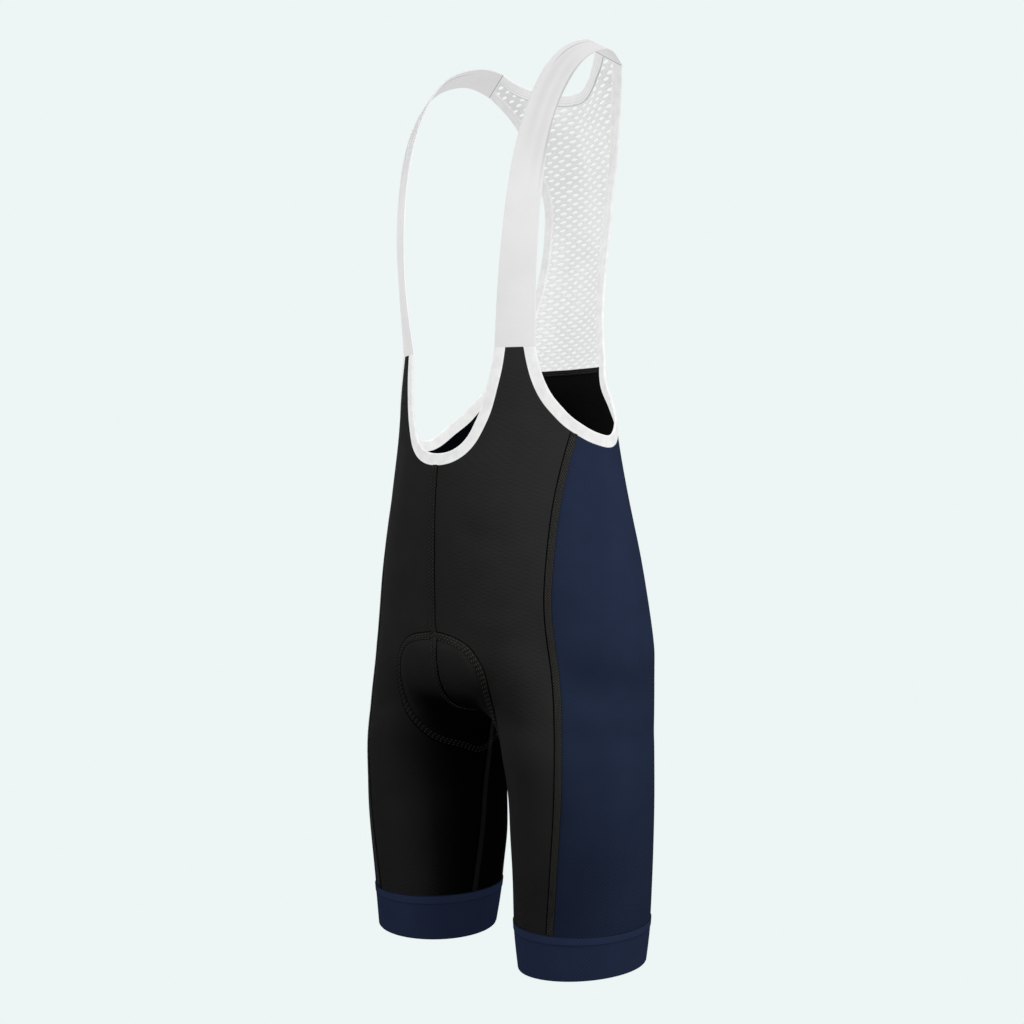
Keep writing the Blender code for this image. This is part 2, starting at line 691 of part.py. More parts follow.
def add_front(front_cloth, side_cloth, front_seam, inner_leg):
    """Front half: neckline, middle seam and inseam on one side, opening and side seam on the other."""
    middle = middle_front(front_cloth[-1])
    start = np.concatenate([front_cloth[:-1], middle, beside(inner_leg, -SEAM_GAP / 2)])
    neck = len(front_cloth) - 1
    start[neck : neck + len(middle) + 1, 0] = SEAM_GAP / 2
    end = np.concatenate([side_cloth[:ROWS_PEAK], beside(front_seam, SEAM_GAP / 2)])
    end[ROWS_PEAK] = front_seam[0] + (side_cloth[ROWS_PEAK - 1] - front_seam[0]) * CORNER_INSET
    grid = across_form(start, end, FRONT_COLUMNS)
    add_pair("front", grid, outward(grid), BLACK)


def add_side(top, front_seam, back_seam):
    """Side panel, between the two side seams, from the opening down to the leg band."""
    start, end = beside(front_seam, -SEAM_GAP / 2), beside(back_seam, SEAM_GAP / 2)
    start[0] = top[0] + (top[1] - top[0]) * SIDE_CORNER_INSET
    end[0] = top[-1] + (top[-2] - top[-1]) * SIDE_CORNER_INSET
    sag = top[:, 2] - np.linspace(top[0, 2], top[-1, 2], SIDE_COLUMNS + 1)
    grid = across_form(start, end, SIDE_COLUMNS, sag)
    grid[0, 1:-1] = top[1:-1]
    add_pair("side", grid, outward(grid), NAVY)


def add_back(opening, back_seam, inner_leg):
    """Back half: opening and side seam on one side, middle seam and inseam on the other."""
    middle = middle_back()
    end = np.concatenate([middle, beside(inner_leg, SEAM_GAP / 2)])
    end[: len(middle) + 1, 0] = SEAM_GAP / 2
    start = np.concatenate([opening[:-1], beside(back_seam, -SEAM_GAP / 2)])
    start[0, 2] = BACK_WAIST
    start[ROWS_SEAT_TOP] = back_seam[0] + (opening[-2] - back_seam[0]) * CORNER_INSET
    grid = across_form(start, end, BACK_COLUMNS)
    add_pair("back", grid, outward(grid), BLACK)


def add_grippers():
    """Leg bands: closed rings round the legs below the panels."""
    turn = np.linspace(0, 2 * np.pi, GRIPPER_COLUMNS + 1)[:-1]
    share = np.linspace(0, 1, GRIPPER_ROWS + 1)[:, None]
    middle_x, middle_y, half_width, half_depth, _ = section(LEG, GRIPPER_TOP)
    ring = np.stack([middle_x + half_width * np.sin(turn), middle_y - half_depth * np.cos(turn)], -1)
    top = leg_level(ring, GRIPPER_TOP - SEAM_GAP / 2)
    hem = leg_level(ring, HEM, HEM_RISE_OUT)
    height = top * (1 - share) + hem * share
    ring = np.repeat(ring[None], GRIPPER_ROWS + 1, 0)
    grid = settle(np.concatenate([ring, height[..., None]], -1))
    grid[[0, -1], :, 2] = height[[0, -1]]
    normals = outward(grid)
    normals[0, :, 2] = 0.0
    inner = GRIPPER_PROUD - GRIPPER_WALL
    add_pair("gripper", grid, unit(normals), NAVY, outer=GRIPPER_PROUD, inner=inner, closed=True)


def add_straps():
    """Shoulder straps: flat webbing between two edge lines, arched across at its base."""
    table = np.asarray(STRAP)
    middle = (table[:, :3] + table[:, 3:]) / 2
    knots = along(middle)
    both = spline(knots, table, np.linspace(0, 1, STRAP_ROWS + 1))
    neck, outer = both[:, None, :3], both[:, None, 3:]
    share = np.linspace(0, 1, STRAP_COLUMNS + 1)[None, :, None]
    flat = neck * (1 - share) + outer * share
    run = tangents(both[:, :3] + both[:, 3:])[:, None]
    normals = unit(np.cross(outer - neck, run))
    fade = (1 - np.linspace(0, 1, STRAP_ROWS + 1))[:, None, None] ** 2
    grid = flat + normals * STRAP_CROWN * fade * 4 * share * (1 - share)
    normals = np.repeat(normals, STRAP_COLUMNS + 1, 1)
    normals[0, :, 2] = 0.0
    normals[0] = unit(normals[0])
    grid[0, :, 2] = STRAP_BASE + SEAM_GAP
    _, seam_normal = strap_seam()
    normals[-1] = seam_normal
    grid[-1] -= run[-1] * SEAM_GAP
    add_pair("strap", grid, normals, PALE)


def add_net(side_cloth, side_normals, neck_normals):
    """Net back: one piece from the back waist to both straps, open between them as the neckline."""
    inner = net_inner()
    outer = side_cloth.copy()
    outer[0, 2] = inner[0, 2]
    share = np.linspace(0, 1, NET_COLUMNS + 1)[None, :]
    rows = len(inner)
    over = np.clip((np.arange(rows) - NET_ROWS_MIDDLE) / (rows - 1 - NET_ROWS_MIDDLE), 0, 1)[:, None]
    bend = share ** (2 - over)
    straight = inner[:, None] * (1 - share[..., None]) + outer[:, None] * share[..., None]
    straight[..., 1] = inner[:, None, 1] * (1 - bend) + outer[:, None, 1] * bend
    down, over_width = np.gradient(straight, axis=(0, 1))
    normals = unit(np.cross(over_width, down)) * -1
    normals[: NET_ROWS_MIDDLE + 1, 0, 0] = 0.0
    normals = unit(normals)
    normals[0] = outward(straight[0])
    _, seam_normal = strap_seam()
    normals[-1] = seam_normal
    normals[:, -1] = side_normals
    normals[NET_ROWS_MIDDLE:, 0] = neck_normals[::-1]
    faces = grid_faces(rows, NET_COLUMNS + 1)
    count = rows * (NET_COLUMNS + 1)
    left, left_normals = straight.reshape(-1, 3), normals.reshape(-1, 3)
    twin = np.arange(count) + count
    twin.reshape(rows, -1)[: NET_ROWS_MIDDLE + 1, 0] -= count
    right_faces = twin[faces][:, ::-1]
    points = np.concatenate([left, mirrored(left)])
    all_normals = np.concatenate([left_normals, mirrored(left_normals)])
    shell, solid = thicken(points, all_normals, np.concatenate([faces, right_faces]), 0.0, -WALL)
    used = sorted({corner for face in solid for corner in face})
    place = {old: new for new, old in enumerate(used)}
    solid = [[place[corner] for corner in face] for face in solid]
    add_object("net_back", shell[used], solid, PALE_NET)


def add_bands(front, side):
    """Bindings of the front neckline, the back neckline and the two side openings."""
    grid, normals, _ = front
    whole = np.concatenate([grid, mirrored(grid)[-2::-1]])
    whole_normals = np.concatenate([normals, mirrored(normals)[-2::-1]])
    whole_normals[[0, -1], :, 2] = 0.0
    outer, inner = BAND_PROUD, BAND_PROUD - BAND_WALL
    add_wall("neck_binding", whole, unit(whole_normals), PALE, outer, inner)
    grid, normals, _, _ = side
    normals = normals.copy()
    normals[0, :, 2] = 0.0
    add_pair("side_binding", grid, unit(normals), PALE, outer=outer, inner=inner)
    edge, ways, normals = back_neck_edge()
    shares = np.linspace(0, 1, BAND_COLUMNS + 1) * BAND_WIDTH
    grid = edge[:, None] + ways[:, None] * shares[None, :, None]
    normals = np.repeat(normals[:, None], BAND_COLUMNS + 1, 1)
    whole = np.concatenate([grid, mirrored(grid)[-2::-1]])
    whole_normals = np.concatenate([normals, mirrored(normals)[-2::-1]])
    add_wall("back_neck_binding", whole, whole_normals, PALE, outer, inner)


def main():
    for obj in list(bpy.data.objects):
        bpy.data.objects.remove(obj)
    collection = bpy.data.collections.new("bib_shorts")
    bpy.context.scene.collection.children.link(collection)
    front = front_band()
    side = side_band()
    side_cloth, (to_front_seam, to_back_seam, to_waist) = side[2], side[3]
    front_seam = side_seam(FRONT_SEAM, side_cloth[to_front_seam])
    back_seam = side_seam(BACK_SEAM, side_cloth[to_back_seam])
    inner_leg = inseam()
    add_front(front[2], side_cloth, front_seam, inner_leg)
    add_side(side_cloth[to_front_seam : to_back_seam + 1], front_seam, back_seam)
    add_back(side_cloth[to_back_seam : to_waist + 1][::-1], back_seam, inner_leg)
    add_grippers()
    add_straps()
    add_net(side_cloth[to_waist:], side[1][to_waist:, -1], back_neck_edge()[2])
    add_bands(front, side)


main()
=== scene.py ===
"""Cycling bib shorts, dressed: stretch panels, taped seams, bound edges, webbing straps and a net.

Metres. +Z is up, the front faces -Y and the wearer's left is +X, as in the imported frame. All the
cloth lies on one closed form, a trunk and two legs of elliptic sections that run softly into each
other, and every panel is a grid of points between two seam lines on that form.
"""

import logging  # noqa: E402
from dataclasses import asdict, dataclass, field, fields, replace  # noqa: E402
from enum import Enum  # noqa: E402

import bpy  # noqa: E402
import numpy as np  # noqa: E402
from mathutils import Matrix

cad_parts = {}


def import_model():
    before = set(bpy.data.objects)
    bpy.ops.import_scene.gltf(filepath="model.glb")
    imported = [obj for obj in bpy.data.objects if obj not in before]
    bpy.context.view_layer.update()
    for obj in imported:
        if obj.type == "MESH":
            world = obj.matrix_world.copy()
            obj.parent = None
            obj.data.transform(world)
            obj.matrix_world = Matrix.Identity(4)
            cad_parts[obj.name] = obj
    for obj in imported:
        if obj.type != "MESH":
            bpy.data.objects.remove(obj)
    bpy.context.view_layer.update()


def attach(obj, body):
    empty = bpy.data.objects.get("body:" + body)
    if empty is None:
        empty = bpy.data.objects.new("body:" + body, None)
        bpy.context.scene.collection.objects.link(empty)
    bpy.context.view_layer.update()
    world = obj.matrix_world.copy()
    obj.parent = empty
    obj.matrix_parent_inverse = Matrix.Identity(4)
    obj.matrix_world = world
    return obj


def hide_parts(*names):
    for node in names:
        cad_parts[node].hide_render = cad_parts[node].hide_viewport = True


log = logging.getLogger("bib_shorts")

Array = np.ndarray

# Cloth
WALL = 0.0012
BAND_WALL = 0.0024
BAND_WIDTH = 0.0117
BAND_PROUD = 0.0006
GRIPPER_PROUD = 0.0004
GRIPPER_WALL = 0.0016
TUCK = 0.0006  # how far the cloth runs on under what is sewn over its edge

# Heights
STRAP_BASE = -0.2990
BACK_WAIST = -0.3120
CROTCH = -0.6450
GRIPPER_TOP = -0.8400
HEM = -0.8837
RISE_BACK = 0.035
HEM_RISE_OUT = 0.045

CROTCH_ROUNDING = 0.062
LEG_TO_LEG_BLEND = 0.030
LEG_TO_TRUNK_BLEND = 0.030
AXIS_SPLITS_AT = -0.520
AXIS_IN_LEG_AT = -0.660
TRUNK_MIDDLE = -0.004
CROTCH_CENTRE = -0.5650
CROTCH_RAY_TO_INSEAM = 95.5

# height, half width, y of the front, y of the back
TRUNK_SECTIONS = (
    (-0.285, 0.1268, -0.0875, 0.0790), (-0.335, 0.1285, -0.0930, 0.0622),
    (-0.375, 0.1300, -0.0965, 0.0680), (-0.415, 0.1344, -0.1010, 0.0790),
    (-0.455, 0.1410, -0.1040, 0.0895), (-0.490, 0.1483, -0.1045, 0.0973),
    (-0.525, 0.1558, -0.1045, 0.1014), (-0.555, 0.1611, -0.1040, 0.1050),
    (-0.580, 0.1648, -0.1040, 0.1072), (-0.605, 0.1668, -0.1035, 0.1080),
    (-0.645, 0.1676, -0.1030, 0.1055), (-0.700, 0.1682, -0.1030, 0.1020),
)
# height, x and y of the leg's middle, half width, half depth, inward lean of the back
LEG_SECTIONS = (
    (-0.520, 0.0700, -0.0040, 0.0100, 0.0200, 0.000),
    (-0.560, 0.0800, -0.0040, 0.0300, 0.0500, 0.000),
    (-0.600, 0.0900, -0.0040, 0.0450, 0.0700, 0.000),
    (-0.645, 0.0980, -0.0080, 0.0653, 0.0748, -0.030),
    (-0.662, 0.0985, -0.0088, 0.0681, 0.0763, -0.030),
    (-0.688, 0.1011, -0.0092, 0.0689, 0.0754, -0.005),
    (-0.725, 0.1035, -0.0080, 0.0693, 0.0728, 0.037),
    (-0.760, 0.1035, -0.0072, 0.0691, 0.0717, 0.053),
    (-0.791, 0.1031, -0.0061, 0.0676, 0.0706, 0.053),
    (-0.820, 0.1031, -0.0062, 0.0657, 0.0685, 0.029),
    (-0.843, 0.1030, -0.0065, 0.0642, 0.0668, 0.010),
    (-0.892, 0.1039, -0.0080, 0.0580, 0.0615, 0.000),
)
# Free edge of the front neckline: x, height
NECKLINE = (
    (0.0000, -0.3975), (0.0120, -0.3965), (0.0250, -0.3918), (0.0355, -0.3828), (0.0430, -0.3695),
    (0.0475, -0.3590), (0.0535, -0.3350), (0.0567, -0.3180), (0.0583, STRAP_BASE),
)
# Free edge of the side opening: degrees round the trunk from the front, height
SIDE_OPENING = (
    (48.0, STRAP_BASE), (51.7, -0.324), (54.0, -0.334), (58.0, -0.346), (62.4, -0.355),
    (68.0, -0.3645), (73.8, -0.371), (80.1, -0.3765), (87.2, -0.380), (95.0, -0.3808),
    (102.0, -0.3765), (111.0, -0.3665), (122.8, -0.3530), (130.6, -0.3400), (137.4, -0.3280),
)
FRONT_SEAM_AT, BACK_SEAM_AT = 6, 12
# Free edge of the net: x, y, height
NET_EDGE = (
    (0.0785, 0.0528, -0.312), (0.0636, 0.0665, -0.280), (0.0555, 0.0750, -0.255),
    (0.0515, 0.0808, -0.235), (0.0485, 0.0867, -0.211), (0.0474, 0.0918, -0.185),
    (0.0477, 0.0955, -0.155), (0.0497, 0.0960, -0.132), (0.0585, 0.0912, -0.103),
    (0.0740, 0.0800, -0.051), (0.0945, 0.0585, -0.017),
)
# Middle of the net: y, height
NET_MIDDLE = (
    (0.0695, -0.312), (0.0790, -0.285), (0.0860, -0.262), (0.0940, -0.222), (0.0990, -0.180),
    (0.1015, -0.145), (0.1018, -0.110), (0.0990, -0.065), (0.0905, -0.0245),
)
# Free edge of the back neckline: x, y, height
BACK_NECKLINE = (
    (0.0000, 0.0905, -0.0245), (0.0130, 0.0870, -0.0238), (0.0260, 0.0800, -0.0212),
    (0.0400, 0.0710, -0.0168), (0.0550, 0.0597, -0.0088), (0.0655, 0.0515, 0.0010),
)
BACK_BINDING_AIM = (0.045, 0.088, -0.05)
# Shoulder strap, front to back: its edge at the neck, then its outer edge
STRAP = (
    (0.0583, -0.0795, STRAP_BASE, 0.0946, -0.0610, STRAP_BASE),
    (0.0662, -0.0828, -0.241, 0.0980, -0.0638, -0.240),
    (0.0715, -0.0813, -0.187, 0.1022, -0.0640, -0.185),
    (0.0752, -0.0745, -0.132, 0.1040, -0.0600, -0.138),
    (0.0780, -0.0607, -0.082, 0.1058, -0.0495, -0.089),
    (0.0797, -0.0405, -0.041, 0.1078, -0.0303, -0.050),
    (0.0810, -0.0150, -0.013, 0.1085, -0.0050, -0.0225),
    (0.0806, 0.0095, 0.000, 0.1062, 0.0190, -0.0112),
    (0.0750, 0.0360, 0.0058, 0.1010, 0.0400, -0.0098),
    (0.0655, 0.0515, 0.0010, 0.0945, 0.0585, -0.0170),
)
STRAP_CROWN = 0.0022
# Side panel's seams and the seam inside the leg: x, y, height
FRONT_SEAM = (
    (0.1214, -0.0431, -0.4046), (0.1199, -0.0548, -0.4462), (0.1202, -0.0645, -0.5012),
    (0.1212, -0.0680, -0.5332), (0.1235, -0.0686, -0.5580), (0.1297, -0.0674, -0.5968),
    (0.1359, -0.0692, -0.6510), (0.1386, -0.0725, -0.7051), (0.1350, -0.0727, -0.7605),
    (0.1281, -0.0708, -0.8171), (0.1248, -0.0698, -0.8430),
)
BACK_SEAM = (
    (0.1019, 0.0508, -0.4200), (0.1039, 0.0604, -0.4600), (0.1069, 0.0735, -0.5300),
    (0.1085, 0.0800, -0.5900), (0.1240, 0.0730, -0.6400), (0.1330, 0.0600, -0.6900),
    (0.1340, 0.0530, -0.7600), (0.1290, 0.0490, -0.8430),
)
INSEAM = (
    (0.0000, 0.0070, -0.6490), (0.0120, 0.0062, -0.6530), (0.0250, 0.0030, -0.6640),
    (0.0320, 0.0010, -0.6800), (0.0350, -0.0005, -0.7000), (0.0365, -0.0040, -0.7250),
    (0.0376, -0.0070, -0.7600), (0.0386, -0.0102, -0.7970), (0.0396, -0.0160, -0.8430),
)
# Outline of the seat pad: degrees from level forwards round under the body to level backwards,
# then how far out it runs on the wearer's right and on the left, to half a millimetre
PAD_OUTLINE = (
    (2.0, 0.0000, 0.0000), (3.0, 0.0180, 0.0200), (5.0, 0.0350, 0.0330), (8.0, 0.0460, 0.0440),
    (13.0, 0.0560, 0.0530), (20.0, 0.0640, 0.0600), (30.0, 0.0700, 0.0620), (38.0, 0.0720, 0.0610),
    (44.0, 0.0710, 0.0595), (50.0, 0.0660, 0.0560), (56.0, 0.0580, 0.0520), (62.0, 0.0500, 0.0465),
    (68.0, 0.0425, 0.0415), (75.0, 0.0365, 0.0365), (83.0, 0.0335, 0.0335), (93.0, 0.0340, 0.0340),
    (104.0, 0.0400, 0.0400), (117.0, 0.0520, 0.0520), (129.0, 0.0620, 0.0620),
    (142.0, 0.0670, 0.0670), (155.0, 0.0600, 0.0600), (166.0, 0.0450, 0.0450),
    (173.0, 0.0250, 0.0250), (177.0, 0.0000, 0.0000),
)
PAD_SWELL = 0.0024
PAD_LOWEST = -0.72
PAD_EDGE = 0.016  # how far inside its outline the pad reaches its full height

SEAM_BREAKS = (-0.428, -0.545, -0.665)
NECKLINE_CROWDING = 0.22
EDGE_CROWDING = (0.0, 0.12, 0.32, 0.62)  # places on a rounded edge, as shares of its width
NET_TOP_SPACING = 0.012
FINE_STEPS = 1200
SHARP_ANGLE = 50.0
FOLD_STEPS = 8
FOLD_FADE = 0.7
TURN = 2 * np.pi
CLOTH_ROUGHNESS, CLOTH_SPECULAR, NAP_ROUGHNESS = 0.85, 0.02, 0.5

# Faces of one stitch: a long bead with two corners on each of its three axes
BEAD_FACES = np.array(
    [(0, 2, 4), (2, 1, 4), (1, 3, 4), (3, 0, 4), (2, 0, 5), (1, 2, 5), (3, 1, 5), (0, 3, 5)]
)
# Distance across a flat seam, and height of its strip there
SEAM_PROFILE = (
    (-0.0011, -0.0002), (-0.0009, 0.0001), (-0.0001, 0.0001), (0.0002, 0.0004), (0.0008, 0.0006),
    (0.0034, 0.0007), (0.0060, 0.0006), (0.0066, 0.0004), (0.0070, -0.0002),
)
# Depth below the crests, and how far the centre seam runs to the wearer's left there
CENTRE_SHIFT = ((0.40, 0.56, 0.58, 0.60, 0.68), (0.0014, 0.0018, 0.0060, 0.0055, 0.0))



@dataclass(frozen=True)
class Rows:
    """Grid rows of each stretch of a panel, and columns across it."""

    peak: int = 42
    yoke: int = 18
    seat_top: int = 30
    waist: int = 48
    crotch: int = 48
    leg: int = 54
    front: int = 54
    side: int = 48
    back: int = 54
    net_middle: int = 72
    net_neck: int = 42
    blend: int = 18
    sag: int = 42


ROWS = Rows()


class Side(Enum):
    """The wearer's left and right, as the sign of x."""

    LEFT = 1.0
    RIGHT = -1.0

    @property
    def label(self) -> str:
        """The side's name in a piece's name."""
        return self.name.lower()

    def turned(self, points: Array) -> Array:
        """The points, made for the left, on this side."""
        return points * np.array([self.value, 1.0, 1.0])


# ---------------------------------------------------------------- curves


def spline(knots: Array, values: Array, at: Array) -> Array:
    """Natural cubic spline: second derivatives solve the usual three-term rows.

    Args:
        knots: Rising places of the values.
        values: One row of values at each knot.
        at: Places to read.

    Returns:
        One row of values for each place.
    """
    knots, values = np.asarray(knots, float), np.asarray(values, float)
    steps = np.diff(knots)
    count = len(knots)
    rows = np.eye(count)
    inner = np.arange(1, count - 1)
    rows[inner, inner - 1] = steps[:-1]
    rows[inner, inner] = 2 * (steps[:-1] + steps[1:])
    rows[inner, inner + 1] = steps[1:]
    right = np.zeros((count, values.shape[1]))
    right[1:-1] = 6 * np.diff(np.diff(values, axis=0) / steps[:, None], axis=0)
    bend = np.linalg.solve(rows, right)
    at = np.clip(at, knots[0], knots[-1])
    i = np.clip(np.searchsorted(knots, at) - 1, 0, count - 2)
    after = ((at - knots[i]) / steps[i])[:, None]
    before = 1 - after
    cubic = (before**3 - before) * bend[i] + (after**3 - after) * bend[i + 1]
    return before * values[i] + after * values[i + 1] + cubic * (steps[i] ** 2)[:, None] / 6


def run_length(points: Array) -> Array:
    """Length along a line of points up to each of them."""
    lengths = np.linalg.norm(np.diff(points, axis=0), axis=1)
    return np.concatenate(([0.0], np.cumsum(lengths)))


def along(points: Array) -> Array:
    """Length along a line up to each point, as a share of the whole."""
    run = run_length(points)
    return run / run[-1]


def read_line(places: Array, knots: Array, points: Array) -> Array:
    """The line of points, known at the knots, read at the places."""
    return np.stack([np.interp(places, knots, points[:, k]) for k in range(points.shape[1])], 1)


def smooth_line(points: Array, count: int) -> Array:
    """count + 1 points evenly spaced along the spline through the points."""
    points = np.asarray(points, float)
    knots = along(points)
    fine = spline(knots, points, np.linspace(0, 1, 40 * len(points)))
    return read_line(np.linspace(0, 1, count + 1), along(fine), fine)


def unit(vectors: Array) -> Array:
    """The vectors at length one."""
    return vectors / np.linalg.norm(vectors, axis=-1, keepdims=True)


def tangents(line: Array) -> Array:
    """Direction of the line at each of its points."""
    return unit(np.gradient(line, axis=0))


def smooth_step(share: Array) -> Array:
    """0 below 0 and 1 above 1, with 3s^2 - 2s^3 between."""
    share = np.clip(share, 0, 1)
    return share * share * (3 - 2 * share)


# ---------------------------------------------------------------- the form


def finely(sections: tuple) -> tuple[Array, Array]:
    """Heights and values of a section table, read off its spline."""
    table = np.asarray(sections, float)[::-1]
    heights = np.linspace(table[0, 0], table[-1, 0], FINE_STEPS)
    return heights, spline(table[:, 0], table[:, 1:], heights)


TRUNK = finely(TRUNK_SECTIONS)
LEG = finely(LEG_SECTIONS)


def section(table: tuple[Array, Array], height: Array) -> list[Array]:
    """Each column of a section table at this height."""
    heights, values = table
    return [np.interp(height, heights, values[:, k]) for k in range(values.shape[1])]


def soft_least(a: Array, b: Array, width: float) -> Array:
    """The lesser of a and b, rounded off where they differ by less than width."""
    share = np.clip(0.5 + 0.5 * (b - a) / width, 0, 1)
    return b * (1 - share) + a * share - width * share * (1 - share)


def outside_ellipse(x: Array, y: Array, half_width: Array, half_depth: Array) -> Array:
    """How far (x, y) lies outside an ellipse, along the ray from its middle."""
    ratio = np.sqrt((x / half_width) ** 2 + (y / half_depth) ** 2) + 1e-9
    reach = np.hypot(x, y)
    return reach - reach / ratio


def form(points: Array) -> Array:
    """How far each point lies outside the form: the soft least of the trunk and both legs."""
    x, y, z = points[..., 0], points[..., 1], points[..., 2]
    half_width, front, back = section(TRUNK, z)
    deep = y - TRUNK_MIDDLE
    half_depth = np.where(deep < 0, TRUNK_MIDDLE - front, back - TRUNK_MIDDLE)
    trunk = outside_ellipse(x, deep, half_width, half_depth)
    trunk = -soft_least(-trunk, z - CROTCH, CROTCH_ROUNDING)
    middle_x, middle_y, leg_width, leg_depth, lean = section(LEG, z)
    shift = lean * (y - middle_y)
    left = outside_ellipse(x - middle_x + shift, y - middle_y, leg_width, leg_depth)
    right = outside_ellipse(x + middle_x - shift, y - middle_y, leg_width, leg_depth)
    legs = soft_least(left, right, LEG_TO_LEG_BLEND)
    return soft_least(trunk, legs, LEG_TO_TRUNK_BLEND)


def slope(points: Array) -> Array:
    """Gradient of the form, by central differences."""
    step = 3e-4
    rises = [form(points + move) - form(points - move) for move in np.eye(3) * step]
    return np.stack(rises, -1) / (2 * step)


def settle(points: Array, turns: int = 8) -> Array:
    """The points moved along the form's gradient until they lie on it."""
    points = np.array(points, float)
    for _ in range(turns):
        rise = slope(points)
        move = rise * (form(points) / np.maximum((rise**2).sum(-1), 0.05))[..., None]
        size = np.linalg.norm(move, axis=-1, keepdims=True)
        points -= move * np.minimum(1, 0.02 / np.maximum(size, 1e-9))
    return points


def outward(points: Array) -> Array:
    """Unit normals of the form, pointing out."""
    return unit(slope(points))


def trunk_front(x: Array, height: Array) -> Array:
    """Point of the trunk's front at this x and height."""
    half_width, front, _ = section(TRUNK, height)
    y = TRUNK_MIDDLE - (TRUNK_MIDDLE - front) * np.sqrt(1 - (x / half_width) ** 2)
    return np.stack([x, y, height], -1)


def trunk_round(degrees: Array, height: Array) -> Array:
    """Point of the trunk this far round its section from the front."""
    half_width, front, back = section(TRUNK, height)
    turn = np.radians(degrees)
    deep = -np.cos(turn)
    half_depth = np.where(deep < 0, TRUNK_MIDDLE - front, back - TRUNK_MIDDLE)
    return np.stack([half_width * np.sin(turn), TRUNK_MIDDLE + half_depth * deep, height], -1)


def axis_at(height: Array) -> tuple[Array, Array]:
    """x and y of the line that a panel's rows turn about: the trunk's axis, then the leg's."""
    share = smooth_step((AXIS_SPLITS_AT - height) / (AXIS_SPLITS_AT - AXIS_IN_LEG_AT))
    middle_x, middle_y, *_ = section(LEG, height)
    return middle_x * share, middle_y * share + TRUNK_MIDDLE * (1 - share)


def leg_level(points: Array, height: float, rise_out: float = 0.0) -> Array:
    """Heights at these points of a sloping ring round the leg."""
    middle_x, middle_y, *_ = section(LEG, height)
    out = np.abs(points[..., 0]) - middle_x
    return height + RISE_BACK * (points[..., 1] - middle_y) + rise_out * out


def crotch_ray(degrees: Array, x: Array | float = 0.0) -> Array:
    """Points of the form on rays in planes of even x, turning forwards, down and backwards."""
    turn = np.radians(degrees)
    way = np.stack([0 * turn, -np.cos(turn), -np.sin(turn)], -1)
    near, far = np.zeros(len(turn)), np.full(len(turn), 0.2)
    centre = np.column_stack([np.broadcast_to(x, turn.shape), 0 * turn, 0 * turn + CROTCH_CENTRE])
    for _ in range(30):
        middle = (near + far) / 2
        out = form(centre + way * middle[:, None]) > 0
        near, far = np.where(out, near, middle), np.where(out, middle, far)
    return centre + way * near[:, None]


# ---------------------------------------------------------------- meshes


def grid_faces(rows: int, columns: int, ring: bool = False) -> Array:
    """Quads of a grid of rows by columns points; ring joins the last column to the first."""
    index = np.arange(rows * columns).reshape(rows, columns)
    if ring:
        index = np.hstack([index, index[:, :1]])
    corners = index[:-1, :-1], index[:-1, 1:], index[1:, 1:], index[1:, :-1]
    return np.stack(corners, -1).reshape(-1, 4)


def across_rows(grid: Array) -> Array:
    """Length along each row of a grid up to each of its points."""
    steps = np.linalg.norm(np.diff(grid, axis=1), axis=2)
    return np.concatenate([np.zeros((len(grid), 1)), np.cumsum(steps, axis=1)], 1)


def grid_map(grid: Array) -> Array:
    """Flat places of a panel's points, in metres: along its rows, and their height."""
    return np.stack([across_rows(grid), grid[..., 2]], -1)


def band_map(grid: Array) -> Array:
    """Flat places of a long band's points, in metres: along the band, and across it."""
    across = across_rows(grid)
    run = run_length(grid[:, grid.shape[1] // 2])
    return np.stack([np.broadcast_to(run[:, None], across.shape), across], -1)


def level_first(normals: Array) -> Array:
    """The normals with the first row turned level, so that its edge stays at one height."""
    normals[0, :, 2] = 0.0
    normals[0] = unit(normals[0])
    return normals


